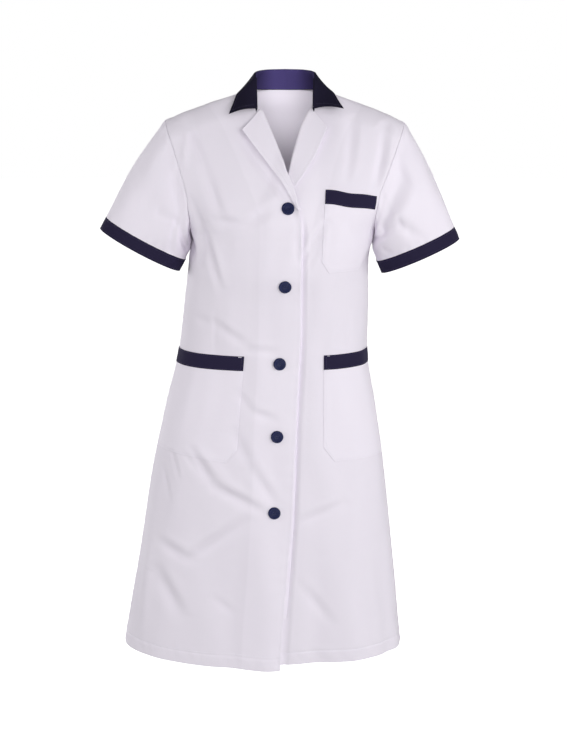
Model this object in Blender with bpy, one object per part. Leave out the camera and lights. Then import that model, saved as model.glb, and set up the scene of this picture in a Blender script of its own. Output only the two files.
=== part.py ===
# Short-sleeved work blouse with contrast trims, in the hollow shape it has when it is worn.
# Units are metres, +Z is up, the front faces -Y, and the wearer's right side is at -X.
# The origin is the middle of the neck, level with the neck ends of the shoulder seams.

from collections import namedtuple

import bmesh
import bpy
import numpy as np
from mathutils import Vector

# ---- Cloth ----
CLOTH = 0.0015           # wall of the body panels, sleeves and lapels
TRIM = 0.0012            # wall of the pockets and their bands
CUFF_WALL = 0.0020       # the cuff is two layers
COLLAR_WALL = 0.0015
SEAM_GAP = 0.0003        # between the pieces that are sewn or buttoned together
SIDES = {"right": -1, "left": 1}     # the wearer's sides, as signs of X
FRONT, BACK = -1, 1                  # signs of Y

# ---- Body: level sections, from the hem up to the neck ----
Section = namedtuple("Section", "height centre half_width front back")
SECTIONS = (
    #        height  centre   half_w  front   back
    Section(-0.960, -0.0390, 0.2430, 0.1300, 0.1350),
    Section(-0.860, -0.0360, 0.2290, 0.1260, 0.1300),
    Section(-0.747, -0.0310, 0.2140, 0.1210, 0.1240),
    Section(-0.633, -0.0280, 0.1975, 0.1160, 0.1160),
    Section(-0.520, -0.0245, 0.1780, 0.1100, 0.1020),
    Section(-0.423, -0.0195, 0.1585, 0.1060, 0.0880),
    Section(-0.340, -0.0145, 0.1540, 0.1120, 0.0870),
    Section(-0.286, -0.0110, 0.1515, 0.1200, 0.0940),
    Section(-0.228, -0.0050, 0.1560, 0.1220, 0.1010),
    Section(-0.180, -0.0035, 0.1830, 0.1130, 0.1060),
    Section(-0.136, -0.0020, 0.2050, 0.0930, 0.1050),
    Section(-0.090, +0.0000, 0.2230, 0.0680, 0.0980),
    Section(-0.050, +0.0000, 0.2350, 0.0440, 0.0860),
    Section(-0.020, +0.0000, 0.2400, 0.0260, 0.0700),
    Section(+0.012, +0.0000, 0.2400, 0.0120, 0.0560),
)
SQUARENESS = 2.3         # 2 is an ellipse, and more is a squarer section

# ---- Shoulders, neck and armholes ----
NECK_X, NECK_Z = 0.0640, 0.0020      # neck end of the shoulder seam
TIP_X = 0.1980                       # shoulder end of the shoulder seam
TIP_Z = {-1: -0.0465, 1: -0.0495}
CROWN = 0.0030                       # how far the shoulder bows up between its ends
BACK_NECK_Z = -0.0020                # middle of the back neckline
NECK_RISE = 1.5                      # how steeply the surface climbs inside the neck
RIDGE_ROUND = 0.0350                 # depth over which the shoulder turns from top to front
UNDERARM_Z = -0.2280
ARMHOLE_ANGLE = np.radians(37.8)     # how far the armhole cuts into the section, from the side

# ---- Hem and the overlap of the fronts: the right front lies over the left ----
HEM_SIDE = {-1: -0.9450, 1: -0.9490}
HEM_EDGE = {-1: -0.9585, 1: -0.9495}
HEM_MIDDLE = -0.9520                 # at the back
Edge = namedtuple("Edge", "height over under")
EDGES = (
    #     height    over     under     x of the front edges, then of the roll lines
    Edge(-0.9600, -0.0090, -0.0640),
    Edge(-0.8900, -0.0050, -0.0590),
    Edge(-0.8070, +0.0020, -0.0520),
    Edge(-0.6860, +0.0110, -0.0430),
    Edge(-0.5440, +0.0165, -0.0370),
    Edge(-0.4500, +0.0215, -0.0330),
    Edge(-0.3740, +0.0245, -0.0270),
    Edge(-0.2830, +0.0250, -0.0240),
    Edge(-0.2290, +0.0258, -0.0220),
    Edge(-0.1900, +0.0232, -0.0178),
    Edge(-0.1700, +0.0179, -0.0110),
    Edge(-0.1500, +0.0112, -0.0020),
    Edge(-0.1365, +0.0055, +0.0055),
    Edge(-0.1250, +0.0004, +0.0082),
    Edge(-0.1080, -0.0055, +0.0124),
    Edge(-0.0880, -0.0134, +0.0184),
    Edge(-0.0550, -0.0281, +0.0289),
    Edge(-0.0400, -0.0352, +0.0364),
    Edge(-0.0250, -0.0440, +0.0450),
    Edge(+0.0020, -0.0640, +0.0640),
)
OVERLAP_LEAST = 0.0300               # width of the finely divided strip along each front edge
STRIP_LEVEL = (-0.140, -0.040)       # it is level up to here, and then slopes with the shoulder
OVERLAP_RAMP = (0.034, 0.005)        # the right front rises over this strip, before it meets the left
OVERLAP_LIFT = CLOTH + SEAM_GAP      # clears the left front
LAPEL_LIFT = 0.0032                  # and clears the left lapel, near the top button
LAPEL_LIFT_SPAN = (-0.235, -0.195, -0.105, -0.060)

# ---- Largest folds: soft ridges (+) and troughs (-) between two points of the cloth ----
# around is in quarter turns of the cloth: 0 at the middle of the front, 1 at the left side seam,
# -1 at the right side seam, 2 at the middle of the back.
Fold = namedtuple("Fold", "around_1 height_1 around_2 height_2 width depth")
FOLD_END = 0.35          # a fold is this shallow at its ends, compared with its middle
FOLDS = (
    #    around_1 height_1 around_2 height_2 width   depth
    Fold(-0.597, -0.612, -0.298, -0.661, 0.014, -0.0045),   # drag from the hip pocket to the last button
    Fold(-0.298, -0.661, -0.034, -0.687, 0.014, -0.0040),
    Fold(-0.616, -0.752, -0.405, -0.768, 0.014, -0.0030),   # sag below the last button
    Fold(-0.405, -0.768, -0.132, -0.710, 0.014, -0.0035),
    Fold(-0.637, -0.779, -0.368, -0.866, 0.016, -0.0045),
    Fold(-0.182, -0.768, -0.143, -1.048, 0.028, -0.0070),   # flutes of the skirt, right front
    Fold(-0.003, -0.733, +0.055, -1.084, 0.022, +0.0065),
    Fold(-0.792, -0.753, -0.743, -1.072, 0.022, +0.0050),
    Fold(+0.317, -0.770, +0.287, -1.068, 0.026, -0.0065),   # and left front
    Fold(+0.525, -0.748, +0.518, -1.075, 0.026, +0.0050),
    Fold(+0.753, -0.759, +0.793, -1.095, 0.018, -0.0040),
    Fold(-0.265, -0.074, -0.257, -0.191, 0.019, -0.0040),   # between the shoulder and the bust
    Fold(-0.486, -0.173, -0.554, -0.245, 0.015, -0.0030),   # slack down the side of the right front
    Fold(-0.554, -0.245, -0.441, -0.340, 0.015, -0.0030),
    Fold(-0.615, -0.139, -0.800, -0.232, 0.015, -0.0050),
    Fold(-1.000, -0.236, -0.780, -0.262, 0.016, -0.0060),   # hollows under the arms
    Fold(+1.000, -0.262, +0.780, -0.285, 0.016, -0.0035),
    Fold(+0.529, -0.067, +0.538, -0.147, 0.014, -0.0040),   # pleat beside the left armhole
    Fold(+1.380, -0.620, +1.350, -1.120, 0.034, -0.0085),   # flutes of the skirt, back
    Fold(+1.640, -0.560, +1.660, -1.120, 0.034, +0.0080),
    Fold(-1.400, -0.640, -1.370, -1.120, 0.032, -0.0080),
    Fold(-1.660, -0.580, -1.680, -1.120, 0.034, +0.0075),
    Fold(+2.000, -0.540, +2.000, -1.120, 0.030, -0.0070),
    Fold(+1.260, -0.150, +1.500, -0.330, 0.022, -0.0045),   # slack at the back of the armholes
    Fold(-1.260, -0.150, -1.500, -0.330, 0.022, -0.0045),
    Fold(+1.180, -0.400, +1.780, -0.440, 0.018, -0.0040),   # back of the waist
    Fold(-1.180, -0.410, -1.700, -0.452, 0.018, -0.0040),
)

# ---- Sleeves and cuffs ----
Sleeve = namedtuple("Sleeve", "x y z tilt half_long half_deep")
SLEEVES = {   # middle of the sleeve's end, and how its oval leans
    -1: Sleeve(-0.2323, -0.010, -0.2405, np.radians(28.4), 0.0748, 0.0500),
    1: Sleeve(+0.2177, -0.010, -0.2500, np.radians(23.9), 0.0706, 0.0500),
}
SLEEVE_BULGE = 0.0055
ARMHOLE_GAP = 0.0005                 # the seam's gap is 0.3 mm where the cloth folds back under the arm
CUFF_HEIGHT = 0.0220
CUFF_PROUD = 0.0003                  # the cuff is a little wider than the sleeve's end
TURN_STEP, DOWN_STEP = 0.03, 0.01    # over which directions are worked out
SleeveFold = namedtuple("SleeveFold", "round_1 down_1 round_2 down_2 width depth")
SLEEVE_FOLDS = {   # round: degrees from the shoulder, 90 at the front; down: 0 armhole, 1 cuff
    -1: (
        SleeveFold(48, 0.10, 72, 0.95, 0.12, -0.0030),
        SleeveFold(118, 0.10, 100, 0.90, 0.12, -0.0040),
        SleeveFold(250, 0.10, 275, 0.95, 0.14, -0.0040),
        SleeveFold(310, 0.20, 300, 0.95, 0.14, +0.0030),
    ),
    1: (
        SleeveFold(112, 0.02, 78, 0.62, 0.12, -0.0060),
        SleeveFold(128, 0.30, 76, 0.80, 0.10, +0.0035),
        SleeveFold(250, 0.10, 275, 0.95, 0.14, -0.0040),
        SleeveFold(310, 0.20, 300, 0.95, 0.14, +0.0030),
    ),
}

# ---- Lapels: outer edge, from the tip at the notch down to the break of the roll ----
Corner = namedtuple("Corner", "x z")
LAPEL_EDGE = {
    -1: (Corner(-0.0690, -0.0620), Corner(-0.0372, -0.1010), Corner(-0.0045, -0.1425),
         Corner(+0.0085, -0.1640), Corner(+0.0155, -0.1785)),
    1: (Corner(+0.0686, -0.0575), Corner(+0.0455, -0.1050), Corner(+0.0215, -0.1400),
        Corner(+0.0010, -0.1660), Corner(-0.0150, -0.1870)),
}
LAPEL_TOP_Z = {-1: -0.0285, 1: -0.0260}   # where the roll line meets the collar
LAPEL_END_Z = {-1: -0.1850, 1: -0.1900}   # where the roll line meets the front edge
LAPEL_STAND_OFF = 0.0045                  # how far the tip lifts off the front
LAPEL_ROLL = 0.0015                       # the roll is rounder near the collar
LAPEL_GAP = 0.0006                        # between the leaf and the front below it

# ---- Collar: the seam, the fold at its top and the outer edge, from the back to the notch ----
CollarRib = namedtuple("CollarRib", "seam_x seam_y seam_z fold_x fold_y fold_z edge_x edge_y edge_z")
COLLAR = (
    CollarRib(0.0000, 0.0600, 0.0020, 0.0000, 0.0660, 0.0355, 0.0000, 0.0860, -0.0080),
    CollarRib(0.0290, 0.0535, 0.0030, 0.0265, 0.0580, 0.0352, 0.0380, 0.0810, -0.0075),
    CollarRib(0.0500, 0.0350, 0.0050, 0.0440, 0.0350, 0.0335, 0.0640, 0.0560, -0.0030),
    CollarRib(0.0575, 0.0120, 0.0080, 0.0480, 0.0110, 0.0310, 0.0735, 0.0230, +0.0010),
    CollarRib(0.0560, -0.0080, 0.0040, 0.0480, -0.0080, 0.0240, 0.0785, -0.0080, -0.0010),
    CollarRib(0.0515, -0.0240, -0.0100, 0.0470, -0.0235, 0.0030, 0.0850, -0.0280, -0.0150),
    CollarRib(0.0468, -0.0400, -0.0295, 0.0462, -0.0405, -0.0235, 0.0920, -0.0450, -0.0315),
)
COLLAR_FOLD_RADIUS = 0.0032
COLLAR_BOW = 0.0070                  # how far the fall bows up between the fold and its edge, at the notch
COLLAR_BOW_FROM = 8                  # the bow grows from the back to the notch by this power
COLLAR_TIP_RISE = {-1: 0.0000, 1: 0.0090}   # the left tip stands a little higher
COLLAR_TIP_OUT = {-1: 0.0000, 1: 0.0035}    # and further out

# ---- Pockets, as seen from the front. Their lower corners are cut off ----
HipPocket = namedtuple("HipPocket", "inner_x top_z depth band inner_lean bottom_rise chamfer_x chamfer_z")
HIP_POCKETS = {
    -1: HipPocket(0.0670, -0.4250, 0.1785, 0.0240, 0.0150, 0.0250, 0.0160, 0.0220),
    1: HipPocket(0.0642, -0.4250, 0.1790, 0.0240, 0.0000, 0.0000, 0.0185, 0.0246),
}
HIP_POCKET_FAR = 0.3500              # they run into the side seams
SIDE_SEAM_MARGIN = 0.0020
ChestPocket = namedtuple("ChestPocket", "inner_x outer_x top_z outer_top_z depth band "
                                        "inner_lean outer_lean chamfer_x chamfer_z")
CHEST_POCKET = ChestPocket(0.0655, 0.1500, -0.1520, -0.1645, 0.1345, 0.0215,
                           0.0065, 0.0200, 0.0120, 0.0190)

# ---- Buttons ----
BUTTON_RADIUS = 0.0104
BUTTON_DISH_RADIUS = 0.0066
BUTTON_THICKNESS = 0.0030
BUTTON_DISH_DEPTH = 0.0011
BUTTON_SIDES = 20
BUTTONS = (Corner(0.0047, -0.1815), Corner(-0.0001, -0.3062), Corner(-0.0089, -0.4366),
           Corner(-0.0132, -0.5581), Corner(-0.0178, -0.6867))

# ---- How finely each piece is divided ----
LOWER_ROWS, UPPER_ROWS = 22, 11          # below and beside the armholes
FRONT_COLUMNS, OVERLAP_COLUMNS = 13, 3
SHOULDER_COLUMNS, NECK_COLUMNS = 7, 3    # of each half of the back
SLEEVE_ROWS = 6
CUFF_ROWS = 2
COLLAR_RIBS, FOLD_STEPS = 26, 4
LAPEL_ROWS, LAPEL_COLUMNS = 10, 3

# ---- Colours ----
WHITE = (0.83, 0.81, 0.86, 1.0)
NAVY = (0.022, 0.018, 0.055, 1.0)
BUTTON_BLUE = (0.020, 0.030, 0.085, 1.0)


def clear_scene():
    for obj in list(bpy.data.objects):
        bpy.data.objects.remove(obj)


def make_material(name, colour, roughness):
    material = bpy.data.materials.new(name)
    material.use_nodes = True
    shader = material.node_tree.nodes["Principled BSDF"]
    shader.inputs["Base Color"].default_value = colour
    shader.inputs["Roughness"].default_value = roughness
    shader.inputs["Metallic"].default_value = 0.0
    return material


# ---- Smooth curves through table rows ----

def curve_through(knots, values):
    """A smooth curve through the points that doesn't overshoot them."""
    knots, values = np.asarray(knots, float), np.asarray(values, float)
    steps = np.diff(knots)
    slopes = np.diff(values) / steps
    turning = slopes[:-1] * slopes[1:] <= 0
    with np.errstate(divide="ignore", invalid="ignore"):
        inner = 2 * slopes[:-1] * slopes[1:] / (slopes[:-1] + slopes[1:])
    tangents = np.concatenate((slopes[:1], np.where(turning, 0, inner), slopes[-1:]))

    def value(at):
        at = np.clip(at, knots[0], knots[-1])
        i = np.clip(np.searchsorted(knots, at) - 1, 0, len(steps) - 1)
        s = (at - knots[i]) / steps[i]
        return (values[i] * (1 + 2 * s) * (1 - s) ** 2
                + values[i + 1] * s * s * (3 - 2 * s)
                + steps[i] * (tangents[i] * s * (1 - s) ** 2 + tangents[i + 1] * s * s * (s - 1)))

    return value


def table_curve(rows, knot, name):
    return curve_through([getattr(row, knot) for row in rows], [getattr(row, name) for row in rows])


centre_at = table_curve(SECTIONS, "height", "centre")
half_width_at = table_curve(SECTIONS, "height", "half_width")
depth_at = {FRONT: table_curve(SECTIONS, "height", "front"),
            BACK: table_curve(SECTIONS, "height", "back")}
edge_at = {-1: table_curve(EDGES, "height", "over"),
           1: table_curve(EDGES, "height", "under")}


def smooth_step(low, high, at):
    s = np.clip((np.asarray(at, float) - low) / (high - low), 0, 1)
    return s * s * (3 - 2 * s)


def signed_power(value, power):
    return np.sign(value) * np.abs(value) ** power


def lerp(a, b, share):
    return a + (b - a) * share


def unit(vectors):
    return vectors / np.maximum(np.linalg.norm(vectors, axis=-1, keepdims=True), 1e-9)


def ways_along(points, axis):
    """Directions along the rows or the columns of a grid of points, at each point."""
    steps = unit(np.diff(points, axis=axis))
    first, last = np.take(steps, [0], axis), np.take(steps, [-1], axis)
    return unit(np.concatenate((first, steps), axis) + np.concatenate((steps, last), axis))


# ---- The body's surface: the outside of the cloth, before anything is laid on it ----

QUARTER_ANGLES = np.linspace(0, np.pi / 2, 181)
QUARTER_POINTS = np.stack((0.20 * signed_power(np.cos(QUARTER_ANGLES), 2 / SQUARENESS),
                           0.11 * signed_power(np.sin(QUARTER_ANGLES), 2 / SQUARENESS)))
QUARTER_SHARES = np.concatenate(([0], np.cumsum(np.linalg.norm(np.diff(QUARTER_POINTS), axis=0))))
QUARTER_OF_SIZE = QUARTER_SHARES[-1] / 0.31      # quarter of a section's way round, per size
QUARTER_SHARES = QUARTER_SHARES / QUARTER_SHARES[-1]


def shoulder_slope(side):
    return (NECK_Z - TIP_Z[side]) / (TIP_X - NECK_X)


def ridge_height(side, x):
    """Height of the shoulder's top over x, and how fast it falls outwards."""
    out = np.abs(x) - NECK_X
    share = np.clip(out / (TIP_X - NECK_X), 0, 1)
    slope = np.where(out > 0, shoulder_slope(side), NECK_RISE)
    bend = np.where(share > 0, CROWN * np.pi / (TIP_X - NECK_X) * np.cos(np.pi * share), 0)
    return NECK_Z - out * slope + CROWN * np.sin(np.pi * share), slope - bend


def angle_at(side, x, height):
    """The section's angle at x: 0 at the side, and 90 degrees at the middle."""
    share = np.clip(side * (x - centre_at(height)) / half_width_at(height), -1, 1)
    return np.arccos(np.clip(signed_power(share, SQUARENESS / 2), -1, 1))


def angle_on(side, x, height):
    """The same, for an x that may lie past the middle."""
    share = np.clip(side * (x - centre_at(height)) / half_width_at(height), -1, 1)
    return np.arccos(signed_power(share, SQUARENESS / 2))


def x_at(side, angle, height):
    return centre_at(height) + side * half_width_at(height) * signed_power(np.cos(angle), 2 / SQUARENESS)


def quarter_share(angle):
    """How far along the cloth an angle is, from the side (0) to the middle (1) and past it."""
    share = np.interp(np.minimum(angle, np.pi - angle), QUARTER_ANGLES, QUARTER_SHARES)
    return np.where(angle > np.pi / 2, 2 - share, share)


def quarter_length(height):
    """Length of cloth from the side to the middle."""
    return QUARTER_OF_SIZE * (half_width_at(height) + (depth_at[FRONT](height) + depth_at[BACK](height)) / 2)


def fold_depth(around, height):
    """How far the folds move the cloth out, at a place on the body."""
    total = np.zeros(np.broadcast(around, height).shape)
    for fold in FOLDS:
        turn = np.mod(around - fold.around_1 + 2, 4) - 2
        middle = quarter_length((fold.height_1 + fold.height_2) / 2)
        run = np.array([(fold.around_2 - fold.around_1) * middle, fold.height_2 - fold.height_1])
        offset = np.stack(np.broadcast_arrays(turn * quarter_length(height), height - fold.height_1), -1)
        along = np.clip(offset @ run / (run @ run), 0, 1)
        away = np.linalg.norm(offset - along[..., None] * run, axis=-1)
        swell = FOLD_END + (1 - FOLD_END) * np.sin(np.pi * along)
        total += fold.depth * swell * np.exp(-((away / fold.width) ** 2))
    return total


def body(side, face, angle, height):
    """Points on the body and the directions out of it."""
    angle, height = np.broadcast_arrays(np.asarray(angle, float), np.asarray(height, float))
    a, c, b = half_width_at(height), centre_at(height), depth_at[face](height)
    x = x_at(side, angle, height)
    top, slope = ridge_height(side, x)
    drop = np.clip((top - height) / RIDGE_ROUND, 0, 1)
    turn = np.maximum(np.sqrt(1 - (1 - drop) ** 2), 1e-3)
    deep = signed_power(np.sin(angle), 2 / SQUARENESS)
    y = face * np.maximum(b * deep * turn, SEAM_GAP / 2 + 1e-5)

    # Gradient of |x|^n + |y|^n = 1, which points straight out of the section.
    n, step = SQUARENESS, 1e-4
    grow_a = (half_width_at(height + step) - half_width_at(height - step)) / (2 * step)
    grow_c = (centre_at(height + step) - centre_at(height - step)) / (2 * step)
    grow_b = (depth_at[face](height + step) - depth_at[face](height - step)) / (2 * step)
    share = (x - c) / a
    pull_x = n * signed_power(share, n - 1)
    pull_y = n * np.abs(deep) ** n
    rounding = (1 - drop) / (RIDGE_ROUND * turn ** 2) * (drop < 1)
    normal = np.stack((
        pull_x / a + pull_y * rounding * slope * np.sign(x),
        face * n * np.abs(deep) ** (n - 1) / (b * turn),
        -pull_x * (grow_c + share * grow_a) / a - pull_y * (grow_b / b - rounding),
    ), -1)
    return np.stack((x, y, height), -1), unit(normal)


def overlap_rise(side, face, x, height):
    """How far the right front stands off, where it lies over the left front and its lapel."""
    if side > 0 or face == BACK:
        return 0.0
    low, full, fade, high = LAPEL_LIFT_SPAN
    lapel = smooth_step(low, full, height) * (1 - smooth_step(fade, high, height))
    start, end = OVERLAP_RAMP
    ramp = 1 - smooth_step(end, start, edge_at[1](height) - x)
    return (OVERLAP_LIFT + LAPEL_LIFT * lapel) * ramp * (1 - smooth_step(-0.085, -0.040, height))


def cloth(side, face, angle, height, out=0.0):
    """Points on the worn cloth, folds included, moved out by a distance, and the directions out."""
    points, normals = body(side, face, angle, height)
    around = side * (1 + face * quarter_share(angle))
    push = fold_depth(around, height) + overlap_rise(side, face, points[..., 0], height) + out
    return points + normals * np.asarray(push)[..., None], normals


# ---- Armholes and sleeves ----

def armhole(side, turn):
    """Angle and height of the armhole's edge. turn runs from 0 at the shoulder to pi under the arm."""
    height = TIP_Z[side] - (TIP_Z[side] - UNDERARM_Z) * (1 - np.cos(turn)) / 2
    tip_angle = angle_at(side, side * TIP_X, TIP_Z[side])
    upper = ARMHOLE_ANGLE + (tip_angle - ARMHOLE_ANGLE) * np.cos(turn) ** 2
    lower = ARMHOLE_ANGLE * np.sin(turn)
    return np.where(turn < np.pi / 2, upper, np.maximum(lower, 0)), height


def armhole_points(side, turns):
    """The armhole's edge all round: down the front, and up the back."""
    turns = np.mod(turns, 2 * np.pi)
    folded = np.where(turns > np.pi, 2 * np.pi - turns, turns)
    angle, height = armhole(side, folded)
    front, back = (cloth(side, face, angle, height) for face in (FRONT, BACK))
    at_back = (turns > np.pi)[..., None]
    return np.where(at_back, back[0], front[0]), np.where(at_back, back[1], front[1])


def sleeve_axes(side):
    """The long way across the sleeve's oval, outwards and up, and the way down the sleeve."""
    tilt = SLEEVES[side].tilt
    return (np.array([side * np.cos(tilt), 0, np.sin(tilt)]),
            np.array([side * np.sin(tilt), 0, -np.cos(tilt)]))


def sleeve_ring(side, turns, grow=0.0):
    shape = SLEEVES[side]
    across, _ = sleeve_axes(side)
    return (np.array([shape.x, shape.y, shape.z])
            + np.cos(turns)[..., None] * across * (shape.half_long + grow)
            + np.sin(turns)[..., None] * np.array([0, -1, 0]) * (shape.half_deep + grow))


def sleeve_turns():
    """The same places round the armhole as the rows of the front and of the back."""
    half = np.linspace(0, np.pi, UPPER_ROWS + 1)
    return np.concatenate((half, np.pi + half[1:-1]))


def armhole_away(side, turns):
    """Directions across the armhole's seam, from the body to the sleeve."""
    along = armhole_points(side, turns + TURN_STEP)[0] - armhole_points(side, turns - TURN_STEP)[0]
    _, out = armhole_points(side, turns)
    return unit(unit(np.cross(out, along) * side) + np.array([side, 0, 0]))


def sleeve_surface(side, turns, down):
    """Points of the sleeve. turns: round it, from the shoulder; down: 0 at the armhole, 1 at its end."""
    turns, down = np.broadcast_arrays(turns, down)
    start, _ = armhole_points(side, turns)
    start = start + armhole_away(side, turns) * ARMHOLE_GAP
    across, _ = sleeve_axes(side)
    radial = np.cos(turns)[..., None] * across + np.sin(turns)[..., None] * np.array([0, -1, 0])
    push = SLEEVE_BULGE * np.sin(np.pi * down) * np.minimum(1, 1.2 * (1 + np.cos(turns)))
    for fold in SLEEVE_FOLDS[side]:
        run = np.array([np.radians(fold.round_2 - fold.round_1), fold.down_2 - fold.down_1])
        away = np.stack((turns - np.radians(fold.round_1), down - fold.down_1), -1)
        along = np.clip(away @ run / (run @ run), 0, 1)
        away = np.linalg.norm(away - along[..., None] * run, axis=-1)
        push = push + fold.depth * np.sin(np.pi * down) ** 0.5 * np.exp(-((away / fold.width / 2) ** 2))
    return start + (sleeve_ring(side, turns) - start) * down[..., None] + radial * push[..., None]


def sleeve_normals(side, turns, down):
    low, high = np.clip(down - DOWN_STEP, 0, 1), np.clip(down + DOWN_STEP, 0, 1)
    across = sleeve_surface(side, turns + TURN_STEP, down) - sleeve_surface(side, turns - TURN_STEP, down)
    along = sleeve_surface(side, turns, high) - sleeve_surface(side, turns, low)
    return unit(np.cross(across, along) * side)


def armhole_mitre(side, turns):
    """Directions into which the body and the sleeve both turn their edges, so that they meet."""
    _, body_out = armhole_points(side, turns)
    sleeve_out = sleeve_normals(side, turns, np.full_like(turns, 0.002))
    facing = np.clip(np.sum(body_out * sleeve_out, -1, keepdims=True), 0, 1) ** 0.5
    return unit(body_out + sleeve_out * facing), unit(sleeve_out + body_out * facing)


# ---- Solids ----

def add_object(name, mesh_edit, material):
    mesh = bpy.data.meshes.new(name)
    mesh_edit.to_mesh(mesh)
    mesh_edit.free()
    obj = bpy.data.objects.new(name, mesh)
    bpy.context.scene.collection.objects.link(obj)
    mesh.materials.append(material)
    mesh.shade_smooth()
    mesh.set_sharp_from_angle(angle=np.radians(50))
    return obj


def cloth_wall(name, outer, inner, material, closed=False):
    """A wall of cloth between two matching grids of points. closed joins the last column to the first."""
    edit = bmesh.new()
    skins = [[[edit.verts.new(point) for point in row] for row in skin] for skin in (outer, inner)]
    rows, columns = len(outer), len(outer[0])
    pairs = [(j, (j + 1) % columns) for j in range(columns if closed else columns - 1)]
    for skin in skins:
        for i in range(rows - 1):
            for j, k in pairs:
                edit.faces.new((skin[i][j], skin[i][k], skin[i + 1][k]))
                edit.faces.new((skin[i][j], skin[i + 1][k], skin[i + 1][j]))
    top, under = skins
    for i in (0, rows - 1):
        for j, k in pairs:
            edit.faces.new((top[i][j], top[i][k], under[i][k], under[i][j]))
    if not closed:
        for j in (0, columns - 1):
            for i in range(rows - 1):
                edit.faces.new((top[i][j], top[i + 1][j], under[i + 1][j], under[i][j]))
    bmesh.ops.recalc_face_normals(edit, faces=edit.faces)
    return add_object(name, edit, material)


# ---- Body panels: grids of points on the cloth, and the directions out of it ----

def panel_rows():
    """For each row: the turn of the armhole, and how far up it is, below and beside the armhole."""
    low = np.linspace(0, 1, LOWER_ROWS + 1)[:-1]
    turns = np.linspace(np.pi, 0, UPPER_ROWS + 1)
    up = (1 + np.cos(turns)) / 2
    return np.concatenate((np.full(LOWER_ROWS, np.pi), turns)), low, up


def bow(x, side_x, weight):
    """How far the rows near the shoulder bow up with it."""
    share = np.clip((np.abs(x) - NECK_X) / (np.abs(side_x) - NECK_X), 0, 1)
    return weight * CROWN * np.sin(np.pi * share)


def row_between(side, angle_1, height_1, x_2, height_2, columns, weight):
    """Angles and heights along a row that is straight in front view, but for its bow."""
    x_1 = x_at(side, angle_1, height_1)
    angle_2 = angle_on(side, x_2, height_2 + bow(x_2, x_1, weight))
    angles = np.linspace(angle_1, angle_2, columns + 1)
    heights = np.linspace(height_1, height_2, columns + 1)
    for _ in range(6):
        x = x_at(side, angles, heights)
        heights = lerp(height_1, height_2, (x - x_1) / (x_2 - x_1)) + bow(x, x_1, weight)
    return angles, heights


def front_grid(side):
    """Columns from -X to +X. Both fronts divide the overlap alike, so that one lies flat on the other."""
    turns, low, up = panel_rows()
    mitre, _ = armhole_mitre(side, turns)
    side_heights = np.concatenate((lerp(HEM_SIDE[side], UNDERARM_Z, low), armhole(side, turns[LOWER_ROWS:])[1]))
    middle = np.concatenate((lerp(HEM_MIDDLE, UNDERARM_Z, low), lerp(UNDERARM_Z, NECK_Z, up)))
    middle[0] = HEM_EDGE[side]
    weights = smooth_step(0.5, 1, np.concatenate((np.zeros(LOWER_ROWS), up)))
    points, normals = [], []
    for i, (turn, height, weight) in enumerate(zip(turns, middle, weights)):
        edge = edge_at[side](height)
        start = edge + side * max(edge_at[-1](height) - edge_at[1](height), OVERLAP_LEAST)
        at_side = armhole(side, turn)[0] if i >= LOWER_ROWS else 0.0
        side_x = x_at(side, at_side, side_heights[i])
        straight = lerp(height, side_heights[i], (start - edge) / (side_x - edge))
        start_height = lerp(height, straight, smooth_step(*STRIP_LEVEL, height))
        angles, heights = row_between(side, at_side, side_heights[i], start, start_height,
                                      FRONT_COLUMNS, weight)
        strip_x = np.linspace(start, edge, OVERLAP_COLUMNS + 1)[1:]
        strip_heights = np.linspace(start_height, height, OVERLAP_COLUMNS + 1)[1:] + bow(strip_x, side_x, weight)
        angles = np.concatenate((angles, angle_on(side, strip_x, strip_heights)))
        heights = np.concatenate((heights, strip_heights))
        row, out = cloth(side, FRONT, angles, heights)
        if i >= LOWER_ROWS:
            out[0] = mitre[i]
        points.append(row[::-side])
        normals.append(out[::-side])
    return np.array(points), np.array(normals)


def back_neck_height(x):
    return lerp(BACK_NECK_Z, NECK_Z, np.minimum(np.abs(x) / NECK_X, 1) ** 2)


def back_half(side):
    """One half of the back, from its side to the middle."""
    turns, low, up = panel_rows()
    mitre, _ = armhole_mitre(side, 2 * np.pi - turns)
    side_heights = np.concatenate((lerp(HEM_SIDE[side], UNDERARM_Z, low), armhole(side, turns[LOWER_ROWS:])[1]))
    middle = np.concatenate((lerp(HEM_MIDDLE, UNDERARM_Z, low), lerp(UNDERARM_Z, NECK_Z, up)))
    climb = np.concatenate((np.zeros(LOWER_ROWS), up))
    points, normals = [], []
    for i, (turn, height) in enumerate(zip(turns, middle)):
        at_side = armhole(side, turn)[0] if i >= LOWER_ROWS else 0.0
        angles, heights = row_between(side, at_side, side_heights[i], side * NECK_X, height,
                                      SHOULDER_COLUMNS, smooth_step(0.5, 1, climb[i]))
        across = np.linspace(angles[-1], angle_on(side, 0, height), NECK_COLUMNS + 1)[1:]
        sunk = climb[i] * (back_neck_height(x_at(side, across, height)) - NECK_Z)
        angles, heights = np.concatenate((angles, across)), np.concatenate((heights, height + sunk))
        row, out = cloth(side, BACK, angles, heights)
        if i >= LOWER_ROWS:
            out[0] = mitre[i]
        points.append(row)
        normals.append(out)
    return np.array(points), np.array(normals)


def back_grid():
    halves = zip(back_half(-1), back_half(1))
    return [np.concatenate((right, left[:, -2::-1]), axis=1) for right, left in halves]


def panel(name, grid, material):
    points, normals = grid
    return cloth_wall(name, points, points - normals * CLOTH, material)


# ---- Sleeves ----

def sleeve(name, side, material):
    turns = sleeve_turns()
    _, down_axis = sleeve_axes(side)
    _, mitre = armhole_mitre(side, turns)
    outer, inner = [], []
    for down in np.linspace(0, 1, SLEEVE_ROWS + 1):
        points = sleeve_surface(side, turns, np.full_like(turns, down))
        normals = sleeve_normals(side, turns, np.full_like(turns, down))
        if down == 0:
            normals = mitre
        if down == 1:
            normals = unit(normals - (normals @ down_axis)[:, None] * down_axis)
        outer.append(points)
        inner.append(points - normals * CLOTH)
    return cloth_wall(name, outer, inner, material, closed=True)


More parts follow.
